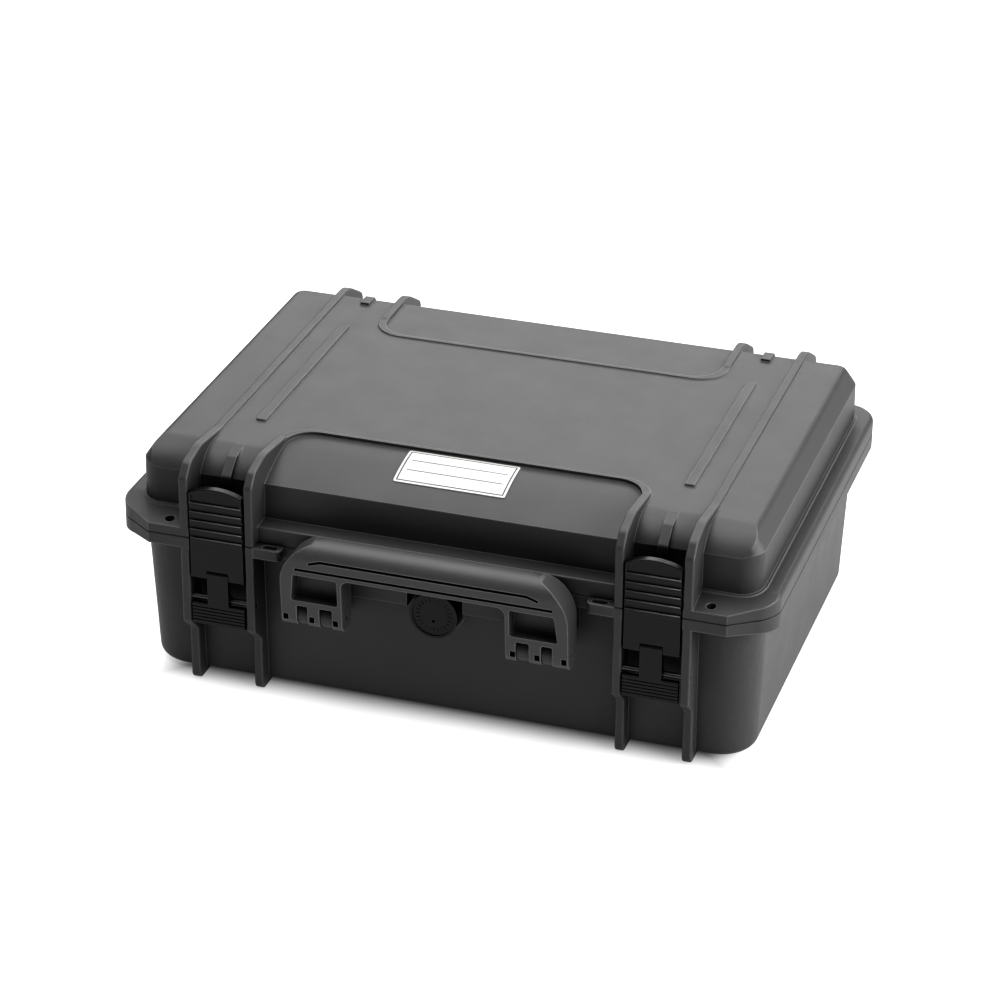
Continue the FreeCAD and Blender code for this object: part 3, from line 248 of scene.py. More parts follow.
def vent_membrane(name, base):
    """Sintered fluoropolymer sheet: white and chalky, with a felted grain."""
    # The real grain is far too fine to see, so it is drawn coarser
    felt_width, felt_depth = 0.5 * mm, 0.05 * mm
    material, tree, place = blank_material(name)
    felt = add(tree, "ShaderNodeTexNoise", {"Vector": place, "Scale": 1 / felt_width,
                                            "Detail": 4.0, "Roughness": 0.7}).outputs["Fac"]
    tone = add(tree, "ShaderNodeMapRange", {"Value": felt, **noise_span,
                                            "To Min": 0.9, "To Max": 1.0}).outputs["Result"]
    paint = add(tree, "ShaderNodeVectorMath", {0: base[:3], "Scale": tone},
                operation="SCALE").outputs[0]
    gloss = add(tree, "ShaderNodeMapRange", {"Value": felt, **noise_span,
                                             "To Min": 0.7, "To Max": 0.9}).outputs["Result"]
    bump = add(tree, "ShaderNodeBump", {"Height": felt, "Strength": 0.5, "Distance": felt_depth})
    skin = add(tree, "ShaderNodeBsdfPrincipled", {"Base Color": paint, "Roughness": gloss,
                                                  "IOR": 1.35, "Normal": bump.outputs[0]})
    add(tree, "ShaderNodeOutputMaterial", {"Surface": skin.outputs[0]})
    return material


def printed_film(name, base, ink, low, high, settings):
    """Polyester film with a satin top coat, printed with a border and writing lines."""
    # The coat's own grain is too fine to see, so it is drawn coarser
    mottle_width, grain_width, grain_depth = 11 * mm, 1.6 * mm, 0.02 * mm
    material, tree, place = blank_material(name)
    middle = (low + high) / 2
    half = (high - low) / 2
    moved = add(tree, "ShaderNodeMapping",
                {"Vector": place, "Location": (-middle.x, -middle.y, 0)}).outputs[0]
    split = add(tree, "ShaderNodeSeparateXYZ", {"Vector": moved})
    along = add(tree, "ShaderNodeMath", {0: split.outputs["X"]}, operation="ABSOLUTE").outputs[0]
    across = add(tree, "ShaderNodeMath", {0: split.outputs["Y"]}, operation="ABSOLUTE").outputs[0]
    inset = settings.border_inset
    thick = settings.line_width
    line_thick = 0.8 * thick
    reach = (half.x - inset, half.y - inset)
    line_reach = reach[0] - 2.5 * inset
    # The border is the ring between two rectangles, and the lines stop short of it
    outer = [add(tree, "ShaderNodeMath", {0: value, 1: edge},
                 operation="LESS_THAN").outputs[0] for value, edge in zip((along, across), reach)]
    inner = [add(tree, "ShaderNodeMath", {0: value, 1: edge - thick},
                 operation="LESS_THAN").outputs[0] for value, edge in zip((along, across), reach)]
    outer = add(tree, "ShaderNodeMath", {0: outer[0], 1: outer[1]}, operation="MULTIPLY").outputs[0]
    inner = add(tree, "ShaderNodeMath", {0: inner[0], 1: inner[1]}, operation="MULTIPLY").outputs[0]
    border = add(tree, "ShaderNodeMath", {0: outer, 1: inner}, operation="SUBTRACT").outputs[0]
    pitch = 2 * reach[1] / (settings.line_count + 1)
    lifted = add(tree, "ShaderNodeMath", {0: split.outputs["Y"], 1: reach[1]},
                 operation="ADD").outputs[0]
    line = add(tree, "ShaderNodeMath", {0: lifted, 1: pitch}, operation="MODULO").outputs[0]
    line = add(tree, "ShaderNodeMath", {0: line, 1: line_thick}, operation="LESS_THAN").outputs[0]
    short = add(tree, "ShaderNodeMath", {0: along, 1: line_reach}, operation="LESS_THAN").outputs[0]
    inside = add(tree, "ShaderNodeMath", {0: across, 1: reach[1] - pitch / 2},
                 operation="LESS_THAN").outputs[0]
    line = add(tree, "ShaderNodeMath", {0: line, 1: short}, operation="MULTIPLY").outputs[0]
    line = add(tree, "ShaderNodeMath", {0: line, 1: inside}, operation="MULTIPLY").outputs[0]
    printed = add(tree, "ShaderNodeMath", {0: border, 1: line}, operation="MAXIMUM").outputs[0]
    mottle = add(tree, "ShaderNodeTexNoise", {"Vector": place, "Scale": 1 / mottle_width,
                                              "Detail": 3.0}).outputs["Fac"]
    tone = add(tree, "ShaderNodeMapRange", {"Value": mottle, **noise_span,
                                            "To Min": 0.95, "To Max": 1.0}).outputs["Result"]
    paper = add(tree, "ShaderNodeVectorMath", {0: base[:3], "Scale": tone},
                operation="SCALE").outputs[0]
    paint = add(tree, "ShaderNodeMix", {"Factor": printed, "A": paper, "B": (*ink[:3], 1)},
                data_type="RGBA")
    gloss = add(tree, "ShaderNodeMapRange", {"Value": mottle, **noise_span,
                                             "To Min": 0.28, "To Max": 0.4}).outputs["Result"]
    grain = add(tree, "ShaderNodeTexNoise",
                {"Vector": place, "Scale": 1 / grain_width}).outputs["Fac"]
    bump = add(tree, "ShaderNodeBump", {"Height": grain, "Strength": 0.2, "Distance": grain_depth})
    skin = add(tree, "ShaderNodeBsdfPrincipled", {"Base Color": paint.outputs["Result"],
                                                  "Roughness": gloss, "IOR": 1.57,
                                                  "Normal": bump.outputs[0]})
    add(tree, "ShaderNodeOutputMaterial", {"Surface": skin.outputs[0]})
    return material


def acrylic_with_painted_shadow(name, base, glow, shadow_patch, fade):
    """Opal acrylic of a light table, lit from below, but for a patch just under the object where
    the glow fades out: a painted shadow for the object to stand on."""
    haze_width = 60 * mm
    material, tree, place = blank_material(name)
    haze = add(tree, "ShaderNodeTexNoise", {"Vector": place, "Scale": 1 / haze_width,
                                            "Detail": 3.0}).outputs["Fac"]
    tone = add(tree, "ShaderNodeMapRange", {"Value": haze, **noise_span,
                                            "To Min": 0.985, "To Max": 1.0}).outputs["Result"]
    paint = add(tree, "ShaderNodeVectorMath", {0: base[:3], "Scale": tone},
                operation="SCALE").outputs[0]
    split = add(tree, "ShaderNodeSeparateXYZ", {"Vector": place})
    beyond = []
    for axis, half in zip("XY", shadow_patch):
        far = add(tree, "ShaderNodeMath", {0: split.outputs[axis]}, operation="ABSOLUTE").outputs[0]
        beyond.append(add(tree, "ShaderNodeMath", {0: far, 1: half},
                          operation="SUBTRACT").outputs[0])
    beyond = add(tree, "ShaderNodeMath", {0: beyond[0], 1: beyond[1]},
                 operation="MAXIMUM").outputs[0]
    # Over the patch the glow fades to nothing: this is the painted shadow under the case
    light = add(tree, "ShaderNodeMapRange", {"Value": beyond, "From Min": -fade, "From Max": 0.0,
                                             "To Min": 0.0, "To Max": glow},
                interpolation_type="SMOOTHSTEP").outputs["Result"]
    skin = add(tree, "ShaderNodeBsdfPrincipled", {
        "Base Color": paint, "Roughness": 0.9, "IOR": 1.49,
        "Emission Color": (1, 1, 1, 1), "Emission Strength": light})
    add(tree, "ShaderNodeOutputMaterial", {"Surface": skin.outputs[0]})
    return material


# Shapes

def plain_copy(obj, name):
    """The evaluated object as a plain mesh object of its own at the origin."""
    graph = bpy.context.evaluated_depsgraph_get()
    mesh = bpy.data.meshes.new_from_object(obj.evaluated_get(graph),
                                           preserve_all_data_layers=True, depsgraph=graph)
    mesh.name = name
    made = bpy.data.objects.new(name, mesh)
    bpy.context.scene.collection.objects.link(made)
    return made


def smooth_moulding(node, name, material):
    """A moulding with its loose triangles joined, so that its rounds shade as one curve."""
    weld = 0.002 * mm
    sharp = math.radians(28)
    source = frame["nodes"][node]
    bm = bmesh.new()
    bm.from_mesh(source.data)
    bmesh.ops.remove_doubles(bm, verts=bm.verts, dist=weld)
    bmesh.ops.dissolve_degenerate(bm, edges=bm.edges, dist=weld)
    for face in bm.faces:
        face.smooth = True
        face.material_index = 0
    for edge in bm.edges:
        edge.smooth = len(edge.link_faces) == 2 and edge.calc_face_angle() < sharp
    mesh = bpy.data.meshes.new(name + "_rough")
    bm.to_mesh(mesh)
    bm.free()
    rough = bpy.data.objects.new(name + "_rough", mesh)
    bpy.context.scene.collection.objects.link(rough)
    weighted = rough.modifiers.new("weights", "WEIGHTED_NORMAL")
    weighted.mode = "FACE_AREA"
    weighted.weight = 80
    weighted.keep_sharp = True
    made = plain_copy(rough, name)
    bpy.data.objects.remove(rough)
    bpy.data.meshes.remove(mesh)
    made.data.materials.clear()
    made.data.materials.append(material)
    return made


def dress(node, name, material):
    """Puts a smooth copy in the node's place, on its body and with its slot."""
    made = smooth_moulding(node, name, material)
    record = frame["record"]
    body = next(b for b, nodes in record["behaviour"]["bodies"].items() if node in nodes)
    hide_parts(node)
    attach(made, body)


def shape_tree(name, inputs):
    """An empty Geometry Nodes tree with named inputs, given as name and socket kind, and with
    one more for the material."""
    tree = bpy.data.node_groups.new(name, "GeometryNodeTree")
    tree.is_modifier = True
    tree.interface.new_socket("Geometry", in_out="OUTPUT", socket_type="NodeSocketGeometry")
    for title, kind in (*inputs, ("Finish", "Material")):
        tree.interface.new_socket(title, in_out="INPUT", socket_type="NodeSocket" + kind)
    given = add(tree, "NodeGroupInput")
    return tree, given.outputs


def end_tree(tree, given, shape):
    """Ends a tree: the instances become real and take the material."""
    real = add(tree, "GeometryNodeRealizeInstances", {"Geometry": shape})
    done = add(tree, "GeometryNodeSetMaterial", {"Geometry": real.outputs[0],
                                                 "Material": given["Finish"]})
    add(tree, "NodeGroupOutput", {"Geometry": done.outputs[0]})


def run_tree(tree, name, values, material):
    """Runs the tree once with its inputs set, and returns the plain mesh that it makes."""
    carrier = bpy.data.objects.new(name + "_tree", bpy.data.meshes.new(name + "_tree"))
    bpy.context.scene.collection.objects.link(carrier)
    modifier = carrier.modifiers.new("tree", "NODES")
    modifier.node_group = tree
    for item in tree.interface.items_tree:
        if item.in_out == "INPUT":
            modifier[item.identifier] = material if item.name == "Finish" else values[item.name]
    made = plain_copy(carrier, name)
    spare = carrier.data
    bpy.data.objects.remove(carrier)
    bpy.data.meshes.remove(spare)
    return made


# What a user can change

def length(name, words, size):
    return bpy.props.FloatProperty(name=name, description=words, default=size, unit="LENGTH")


def number(name, words, count):
    return bpy.props.IntProperty(name=name, description=words, default=count, min=0)


class CaseSizes(bpy.types.PropertyGroup):
    seam_height: length("Seam", "Height of the joint of tub and lid above the feet", 117.4 * mm)
    seal_corner: length("Seal corner", "Radius of the corners along the cord's middle", 17 * mm)
    seal_width: length("Seal width", "Width of the seal cord", 5 * mm)
    tick_count: number("Valve ticks", "How many raised ticks stand round the valve cap", 24)
    tick_ring: length("Tick ring", "Radius of the ring through the ticks' middles", 11.4 * mm)
    tick_length: length("Tick length", "Length of one tick towards the cap's middle", 3 * mm)
    tick_width: length("Tick width", "Width of one tick", 0.7 * mm)
    tick_height: length("Tick height", "Height of one tick, half of it sunk in the cap", 0.5 * mm)
    cap_recess: length("Cap recess", "Depth of the cap's face behind its rim", 0.7 * mm)
    border_inset: length("Border inset", "From the label's edge to its printed border", 1.6 * mm)
    line_width: length("Line width", "Width of the label's printed lines", 0.9 * mm)
    line_count: number("Writing lines", "How many writing lines are printed on the label", 2)
    mark_radius: length("Ejector mark", "Radius of the ejector marks under the tub", 5 * mm)
    mark_height: length("Mark height", "Height of a mark, half of it sunk in the tub", 0.5 * mm)
    mark_field_width: length("Mark field width", "Width of the field of marks", 200 * mm)
    mark_field_depth: length("Mark field depth", "Depth of the field of marks", 190 * mm)
    mark_field_y: length("Mark field middle", "Where the field's middle lies front to rear", 4 * mm)
    marks_across: number("Marks across", "How many marks the field has along its width", 4)
    marks_deep: number("Marks deep", "How many marks the field has along its depth", 3)
    foot_height: length("Foot height", "Height of the tub's underside above the feet", 1.5 * mm)
    # Each lip is a round rod along a ridge's top edge, coloured paler as a painted highlight
    lip_radius: length("Lip radius", "Radius of the worn lip on each finger ridge", 0.5 * mm)
    lip_sink: length("Lip sink", "How far a lip's middle lies inside the ridge's edge", 0.15 * mm)
    lip_margin: length("Lip margin", "What a lip falls short of the plate's width", 1 * mm)
    ridge_count: number("Latch ridges", "How many finger ridges each latch plate has", 5)
    ridge_top: length("Ridge top", "Height of the highest finger ridge above the feet", 145.3 * mm)
    ridge_pitch: length("Ridge pitch", "Height from one finger ridge to the next", 6.65 * mm)
    grain_width: length("Grain", "Width of one grain of the tub's moulded texture", 0.8 * mm)
    fine_grain: bpy.props.FloatProperty(
        name="Fine grain", description="Grain of handle and latches as a share of the tub's",
        default=0.8, min=0.0, subtype="FACTOR")
    floor_width: length("Floor", "Width of the light table", 40.0)
    floor_gap: length("Floor gap", "Gap between the floor and the feet", 0.2 * mm)
    # The patch under the tub where the floor's glow fades out is a painted shadow
    shadow_inset: length("Shadow inset", "How far the card ends inside the tub's outline", 15 * mm)
    shadow_fade: length("Shadow fade", "Width of the card's soft edge", 40 * mm)
    floor_glow: bpy.props.FloatProperty(
        name="Floor glow", description="How strongly the light table is lit from below",
        default=0.5, min=0.0)


def hue(name, words, code):
    return bpy.props.FloatVectorProperty(name=name, description=words, subtype="COLOR", size=3,
                                         min=0.0, max=1.0, default=colour(code))


class CaseColours(bpy.types.PropertyGroup):
    body: hue("Body", "Colour of the tub, lid and eyelets", "#404040")
    handle: hue("Handle", "Colour of the carry handle", "#4a4a4a")
    latch: hue("Latches", "Colour of the latch pieces", "#0d0d0d")
    # A paler copy of the latch colour for the ridge lips: a painted highlight along each ridge's
    # top edge
    wear_and_highlight: hue("Ridge highlight", "Colour of the latch ridges where fingers rub them", "#565656")
    valve: hue("Valve", "Colour of the valve's plastic pieces", "#151515")
    steel: hue("Steel", "Colour of the pins", "#5e5e5e")
    rubber: hue("Rubber", "Colour of the seals", "#17181a")
    membrane: hue("Membrane", "Colour of the vent membrane", "#e6e6e2")
    label: hue("Label", "Colour of the label's film", "#a9a9a7")
    ink: hue("Ink", "Colour of the label's lines", "#1c1d1f")
    floor: hue("Floor", "Colour of the light table's acrylic", "#989898")


# Pieces

class HARDCASE_OT_shells(bpy.types.Operator):
    """Finish the tub and the lid in moulded polypropylene"""
    bl_idname = "hardcase.shells"
    bl_label = "Tub and lid"
    bl_options = {"REGISTER", "UNDO"}

    def execute(self, context):
        sizes, colours = context.scene.case_sizes, context.scene.case_colours
        plastic = moulded_plastic(
            "moulded_polypropylene", colours.body, rough=0.5, grain=sizes.grain_width,
            grain_depth=0.05 * mm, mottle=0.008, round_edge=0.9 * mm, edge_wear_and_highlight=1.6,
            seam=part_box("base_shell")[0].z + sizes.seam_height)
        dress("base_shell", "tub", plastic)
        dress("lid_shell", "lid", plastic)
        return {"FINISHED"}


class HARDCASE_OT_handle(bpy.types.Operator):
    """Finish the carry handle in moulded nylon"""
    bl_idname = "hardcase.handle"
    bl_label = "Handle"
    bl_options = {"REGISTER", "UNDO"}

    def execute(self, context):
        sizes, colours = context.scene.case_sizes, context.scene.case_colours
        nylon = moulded_plastic(
            "moulded_nylon_grey", colours.handle, rough=0.46,
            grain=sizes.fine_grain * sizes.grain_width, grain_depth=0.04 * mm, mottle=0.008,
            round_edge=0.8 * mm, edge_wear_and_highlight=1.4)
        dress("carry_handle", "handle", nylon)
        return {"FINISHED"}


class HARDCASE_OT_latches(bpy.types.Operator):
    """Finish the latch plates and links in black moulded nylon"""
    bl_idname = "hardcase.latches"
    bl_label = "Latches"
    bl_options = {"REGISTER", "UNDO"}

    def execute(self, context):
        sizes, colours = context.scene.case_sizes, context.scene.case_colours
        fine = sizes.fine_grain * sizes.grain_width
        nylon = moulded_plastic(
            "moulded_nylon_black", colours.latch, rough=0.34, grain=fine,
            grain_depth=0.03 * mm, mottle=0.03, round_edge=0.6 * mm, edge_wear_and_highlight=3.0)
        # The ridge lips get a paler copy of the black latch nylon: a painted highlight on each
        # ridge
        rub_and_highlight = moulded_plastic(
            "painted_highlight_nylon", colours.wear_and_highlight, rough=0.32, grain=fine,
            grain_depth=0.02 * mm, mottle=0.05, round_edge=0.3 * mm, edge_wear_and_highlight=0.3)
        tree, given = shape_tree("ridge_lips", [
            ("Count", "Int"), ("Pitch", "Float"), ("Length", "Float"), ("Radius", "Float"),
            ("Top", "Vector")])
        step = add(tree, "ShaderNodeCombineXYZ", {2: add(
            tree, "ShaderNodeMath", {0: given["Pitch"], 1: -1.0}, operation="MULTIPLY").outputs[0]})
        column = add(tree, "GeometryNodeMeshLine", {"Count": given["Count"],
                                                    "Start Location": given["Top"],
                                                    "Offset": step.outputs[0]})
        lip = add(tree, "GeometryNodeMeshCylinder", {"Vertices": 12, "Radius": given["Radius"],
                                                     "Depth": given["Length"]})
        soft = add(tree, "GeometryNodeSetShadeSmooth", {"Geometry": lip.outputs["Mesh"]})
        spread = add(tree, "GeometryNodeInstanceOnPoints",
                     {"Points": column.outputs["Mesh"], "Instance": soft.outputs[0],
                      "Rotation": (0, math.radians(90), 0)})
        end_tree(tree, given, spread.outputs[0])
        sink = sizes.lip_sink
        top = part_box("base_shell")[0].z + sizes.ridge_top
        for side in sides:
            plate = "latch_%s_plate" % side
            dress(plate, "latch_plate_" + side, nylon)
            dress("latch_%s_link" % side, "latch_link_" + side, nylon)
            low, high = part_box(plate)
            lips = run_tree(tree, "latch_lips_" + side, {
                "Count": sizes.ridge_count, "Pitch": sizes.ridge_pitch,
                "Length": high.x - low.x - sizes.lip_margin, "Radius": sizes.lip_radius,
                "Top": ((low.x + high.x) / 2, low.y + sink, top - sink)}, rub_and_highlight)
            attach(lips, "latch_%s_upper" % side)
        return {"FINISHED"}


class HARDCASE_OT_pins(bpy.types.Operator):
    """Finish the steel pins of the hinges, handle and latches"""
    bl_idname = "hardcase.pins"
    bl_label = "Pins"
    bl_options = {"REGISTER", "UNDO"}

    def execute(self, context):
        steel = drawn_steel("drawn_stainless_steel", context.scene.case_colours.steel)
        for side in sides:
            for node in ("hinge_pin_" + side, "handle_pin_" + side,
                         "latch_%s_base_pin" % side, "latch_%s_link_pin" % side):
                dress(node, node.replace("_pin", "_rod"), steel)
        return {"FINISHED"}


class HARDCASE_OT_valve(bpy.types.Operator):
    """Finish the pressure valve and raise a ring of ticks on its cap"""
    bl_idname = "hardcase.valve"
    bl_label = "Pressure valve"
    bl_options = {"REGISTER", "UNDO"}

    def execute(self, context):
        sizes, colours = context.scene.case_sizes, context.scene.case_colours
        plastic = moulded_plastic(
            "moulded_abs_valve", colours.valve, rough=0.42, grain=0.7 * sizes.grain_width,
            grain_depth=0.03 * mm, mottle=0.03, round_edge=0.4 * mm, edge_wear_and_highlight=1.5)
        dress("valve_body", "valve_stem", plastic)
        dress("valve_cap", "valve_disc", plastic)
        dress("valve_nut", "valve_lock_nut", plastic)
        dress("valve_seal_ring", "valve_washer",
              seal_rubber("moulded_silicone_washer", colours.rubber))
        dress("valve_membrane", "vent_sheet", vent_membrane("sintered_ptfe", colours.membrane))

        low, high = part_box("valve_cap")
        middle = (low + high) / 2
        tree, given = shape_tree("valve_ticks", [
            ("Count", "Int"), ("Ring radius", "Float"), ("Length", "Float"), ("Width", "Float"),
            ("Height", "Float"), ("Face", "Vector")])
        tick = add(tree, "ShaderNodeCombineXYZ", {0: given["Length"], 1: given["Width"],
                                                  2: given["Height"]})
        bar = add(tree, "GeometryNodeMeshCube", {"Size": tick.outputs[0]})
        ring = add(tree, "GeometryNodeMeshCircle", {"Vertices": given["Count"],
                                                    "Radius": given["Ring radius"]})
        share = add(tree, "ShaderNodeMath", {0: math.tau, 1: given["Count"]}, operation="DIVIDE")
        index = add(tree, "GeometryNodeInputIndex")
        angle = add(tree, "ShaderNodeMath", {0: index.outputs[0], 1: share.outputs[0]},
                    operation="MULTIPLY")
        turn = add(tree, "ShaderNodeCombineXYZ", {2: angle.outputs[0]})
        spread = add(tree, "GeometryNodeInstanceOnPoints",
                     {"Points": ring.outputs["Mesh"], "Instance": bar.outputs["Mesh"],
                      "Rotation": turn.outputs[0]})
        stood = add(tree, "GeometryNodeTransform",
                    {"Geometry": spread.outputs[0], "Translation": given["Face"],
                     "Rotation": (math.radians(90), 0, 0)})
        end_tree(tree, given, stood.outputs[0])
        ticks = run_tree(tree, "valve_ticks", {
            "Count": sizes.tick_count, "Ring radius": sizes.tick_ring,
            "Length": sizes.tick_length, "Width": sizes.tick_width, "Height": sizes.tick_height,
            "Face": (middle.x, low.y + sizes.cap_recess, middle.z)}, plastic)
        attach(ticks, "base")
        return {"FINISHED"}


class HARDCASE_OT_seal(bpy.types.Operator):
    """Lay the rubber seal cord in the lid's groove"""
    bl_idname = "hardcase.seal"
    bl_label = "Seal cord"
    bl_options = {"REGISTER", "UNDO"}

    def execute(self, context):
        sizes, colours = context.scene.case_sizes, context.scene.case_colours
        low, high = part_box("lid_gasket")
        size, middle = high - low, (high + low) / 2
        cord = sizes.seal_width
        tree, given = shape_tree("seal_cord", [
            ("Width", "Float"), ("Depth", "Float"), ("Corner", "Float"), ("Middle", "Vector"),
            ("Cord size", "Vector")])
        path = add(tree, "GeometryNodeCurvePrimitiveQuadrilateral",
                   {"Width": given["Width"], "Height": given["Depth"]}, mode="RECTANGLE")
        rounded = add(tree, "GeometryNodeFilletCurve", {"Curve": path.outputs[0], "Count": 14,
                                                        "Radius": given["Corner"]}, mode="POLY")
        level = add(tree, "GeometryNodeSetCurveNormal", {"Curve": rounded.outputs[0]}, mode="Z_UP")
        # A circle one metre across, which the cord's width and height scale to an oval
        circle = add(tree, "GeometryNodeCurvePrimitiveCircle", {"Resolution": 20, "Radius": 0.5})
        oval = add(tree, "GeometryNodeTransform", {"Geometry": circle.outputs["Curve"],
                                                   "Scale": given["Cord size"]})
        tube = add(tree, "GeometryNodeCurveToMesh", {"Curve": level.outputs[0],
                                                     "Profile Curve": oval.outputs[0]})
        moved = add(tree, "GeometryNodeTransform", {"Geometry": tube.outputs[0],
                                                    "Translation": given["Middle"]})
        smooth = add(tree, "GeometryNodeSetShadeSmooth", {"Geometry": moved.outputs[0]})
        end_tree(tree, given, smooth.outputs[0])
        seal = run_tree(tree, "seal_cord", {
            "Width": size.x - cord, "Depth": size.y - cord, "Corner": sizes.seal_corner,
            "Middle": middle[:], "Cord size": (cord, size.z, 1.0)},
            seal_rubber("extruded_epdm", colours.rubber))
        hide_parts("lid_gasket")
        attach(seal, "lid")
        return {"FINISHED"}


class HARDCASE_OT_label(bpy.types.Operator):
    """Print the blank write-on label on the lid"""
    bl_idname = "hardcase.label"
    bl_label = "Label"
    bl_options = {"REGISTER", "UNDO"}

    def execute(self, context):
        sizes, colours = context.scene.case_sizes, context.scene.case_colours
        low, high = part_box("name_label")
        film = printed_film("printed_polyester_film", colours.label, colours.ink, low, high, sizes)
        dress("name_label", "label", film)
        return {"FINISHED"}


class HARDCASE_OT_marks(bpy.types.Operator):
    """Raise the moulding's ejector marks under the tub"""
    bl_idname = "hardcase.marks"
    bl_label = "Ejector marks"
    bl_options = {"REGISTER", "UNDO"}

    def execute(self, context):
        sizes = context.scene.case_sizes
        low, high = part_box("base_shell")
        middle_x = (low.x + high.x) / 2
        tree, given = shape_tree("ejector_marks", [
            ("Across", "Int"), ("Deep", "Int"), ("Field", "Vector"), ("Radius", "Float"),
            ("Height", "Float"), ("Middle", "Vector")])
        field = add(tree, "ShaderNodeSeparateXYZ", {0: given["Field"]})
        grid = add(tree, "GeometryNodeMeshGrid", {
            "Size X": field.outputs[0], "Size Y": field.outputs[1],
            "Vertices X": given["Across"], "Vertices Y": given["Deep"]})
        disc = add(tree, "GeometryNodeMeshCylinder", {"Vertices": 24, "Radius": given["Radius"],
                                                      "Depth": given["Height"]})
        spread = add(tree, "GeometryNodeInstanceOnPoints", {"Points": grid.outputs["Mesh"],
                                                            "Instance": disc.outputs["Mesh"]})
        moved = add(tree, "GeometryNodeTransform", {"Geometry": spread.outputs[0],
                                                    "Translation": given["Middle"]})
        end_tree(tree, given, moved.outputs[0])
        marks = run_tree(tree, "ejector_marks", {
            "Across": sizes.marks_across, "Deep": sizes.marks_deep,
            "Field": (sizes.mark_field_width, sizes.mark_field_depth, 0),
            "Radius": sizes.mark_radius, "Height": sizes.mark_height,
            "Middle": (middle_x, sizes.mark_field_y, low.z + sizes.foot_height)},
            bpy.data.materials["moulded_polypropylene"])
        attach(marks, "base")
        return {"FINISHED"}


# Soft lights: name, place, the point each one faces, its width and height, and its watts
softboxes = (
    ("overhead_softbox", (-0.35, 0.25, 2.3), (0, 0.05, 0), (2.6, 2.2), 58),
    ("right_softbox", (2.6, 0.0, 1.2), (0, 0, 0.08), (3.4, 1.9), 96),
    ("rear_softbox", (-0.5, 2.6, 1.3), (0, 0, 0.1), (2.4, 1.0), 22),
)
world_strength = 0.19

# The camera was fitted to the photograph, so these are measured. The angles are in degrees,
# the focal length and the sensor's width in millimetres, as Blender has them
camera_place = (0.63686, -2.00167, 1.17666)
camera_azimuth, camera_height, camera_roll = 17.776, 27.258, 0.523
focal_length = 119.85
sensor_width = 36.0
clip_distance = 50.0


def soft_light(name, place, target, size, power):
    """A softbox: a lamp as large as its cloth, turned to face the target."""
    data = bpy.data.lights.new(name, "AREA")
    data.shape = "RECTANGLE"
    data.size, data.size_y = size
    data.energy = power
    lamp = bpy.data.objects.new(name, data)
    lamp.location = place
    lamp.rotation_euler = (Vector(target) - Vector(place)).to_track_quat("-Z", "Y").to_euler()
    bpy.context.scene.collection.objects.link(lamp)


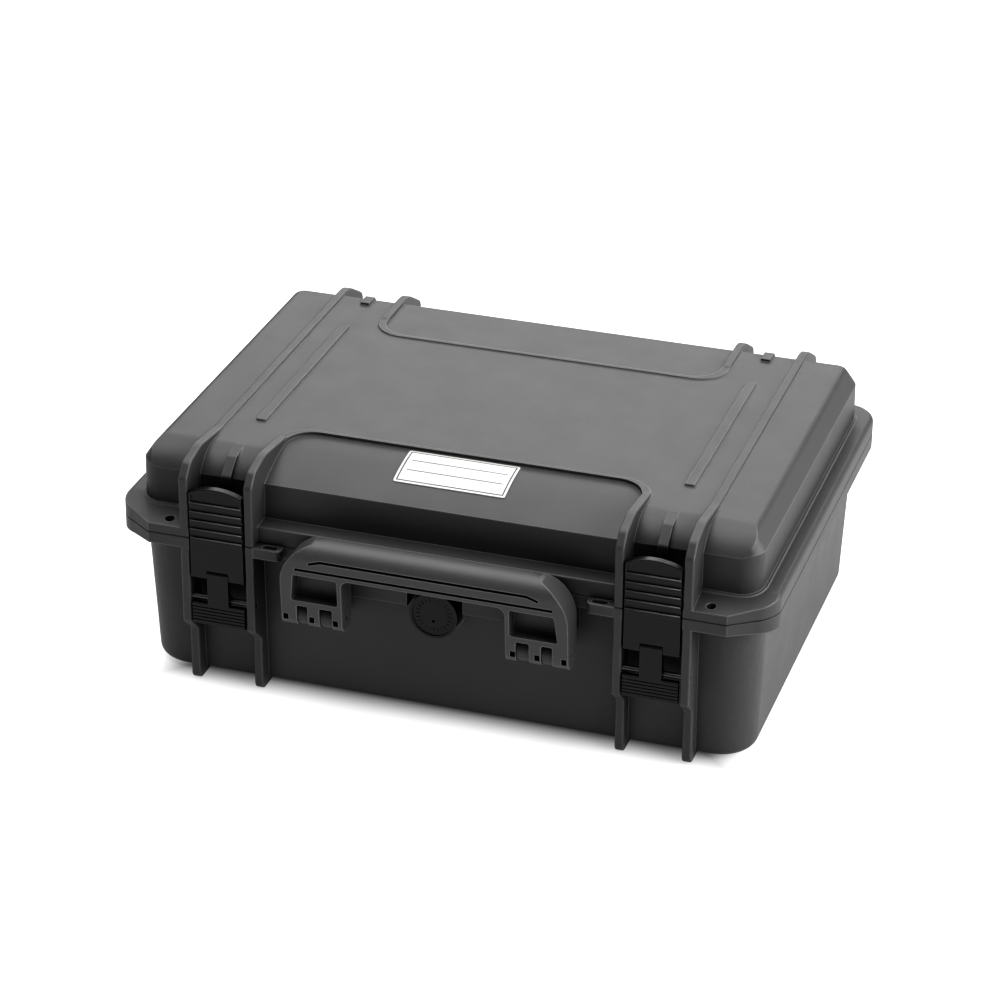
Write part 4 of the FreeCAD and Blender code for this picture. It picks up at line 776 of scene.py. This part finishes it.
class HARDCASE_OT_studio(bpy.types.Operator):
    """Set the light table, the soft lights and the camera"""
    bl_idname = "hardcase.studio"
    bl_label = "Studio"
    bl_options = {"REGISTER", "UNDO"}

    def execute(self, context):
        sizes, colours = context.scene.case_sizes, context.scene.case_colours
        half, level = sizes.floor_width / 2, -sizes.floor_gap
        mesh = bpy.data.meshes.new("lit_floor")
        mesh.from_pydata([(-half, -half, level), (half, -half, level), (half, half, level),
                          (-half, half, level)], [], [(0, 1, 2, 3)])
        floor = bpy.data.objects.new("lit_floor", mesh)
        low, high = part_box("base_shell")
        # The patch of painted shadow under the tub
        shadow_patch = ((high.x - low.x) / 2 - sizes.shadow_inset, (high.y - low.y) / 2 - sizes.shadow_inset)
        mesh.materials.append(acrylic_with_painted_shadow("opal_acrylic", colours.floor, sizes.floor_glow,
                                          shadow_patch, sizes.shadow_fade))
        context.scene.collection.objects.link(floor)

        world = bpy.data.worlds.new("studio")
        world.use_nodes = True
        sky = world.node_tree.nodes["Background"]
        sky.inputs["Color"].default_value = (1, 1, 1, 1)
        sky.inputs["Strength"].default_value = world_strength
        context.scene.world = world
        for softbox in softboxes:
            soft_light(*softbox)
        context.scene.view_settings.view_transform = "Standard"
        context.scene.view_settings.look = "Very High Contrast"

        azimuth = math.radians(camera_azimuth)
        height = math.radians(camera_height)
        roll = math.radians(camera_roll)
        back = Vector((math.sin(azimuth) * math.cos(height), -math.cos(azimuth) * math.cos(height),
                       math.sin(height)))
        right = (-back).cross(Vector((0, 0, 1))).normalized()
        up = right.cross(-back)
        turned = (math.cos(roll) * right + math.sin(roll) * up,
                  math.cos(roll) * up - math.sin(roll) * right, back)
        lens = bpy.data.cameras.new("camera")
        lens.sensor_width = sensor_width
        lens.lens = focal_length
        lens.clip_end = clip_distance
        camera = bpy.data.objects.new("camera", lens)
        pose = Matrix([list(v) for v in turned]).transposed().to_4x4()
        pose.translation = camera_place
        camera.matrix_world = pose
        context.scene.collection.objects.link(camera)
        context.scene.camera = camera
        return {"FINISHED"}


class HARDCASE_PT_pieces(bpy.types.Panel):
    """Buttons for the pieces and the studio, then the sizes and colours a user can change"""
    bl_idname = "HARDCASE_PT_pieces"
    bl_label = "Hard case"
    bl_space_type = "VIEW_3D"
    bl_region_type = "UI"
    bl_category = "Hard case"

    def draw(self, context):
        for piece in pieces:
            self.layout.operator(piece.bl_idname)
        for group in (context.scene.case_sizes, context.scene.case_colours):
            box = self.layout.box()
            for name in group.__annotations__:
                box.prop(group, name)


pieces = (HARDCASE_OT_shells, HARDCASE_OT_handle, HARDCASE_OT_latches, HARDCASE_OT_pins,
          HARDCASE_OT_valve, HARDCASE_OT_seal, HARDCASE_OT_label, HARDCASE_OT_marks,
          HARDCASE_OT_studio)
classes = (CaseSizes, CaseColours, *pieces, HARDCASE_PT_pieces)


def register():
    for each in classes:
        bpy.utils.register_class(each)
    bpy.types.Scene.case_sizes = bpy.props.PointerProperty(type=CaseSizes)
    bpy.types.Scene.case_colours = bpy.props.PointerProperty(type=CaseColours)


def unregister():
    del bpy.types.Scene.case_colours
    del bpy.types.Scene.case_sizes
    for each in reversed(classes):
        bpy.utils.unregister_class(each)


def main():
    register()
    for step in (bpy.ops.hardcase.studio, bpy.ops.hardcase.shells, bpy.ops.hardcase.handle,
                 bpy.ops.hardcase.latches, bpy.ops.hardcase.pins, bpy.ops.hardcase.valve,
                 bpy.ops.hardcase.seal, bpy.ops.hardcase.label, bpy.ops.hardcase.marks):
        step()


if __name__ == "__main__":
    main()
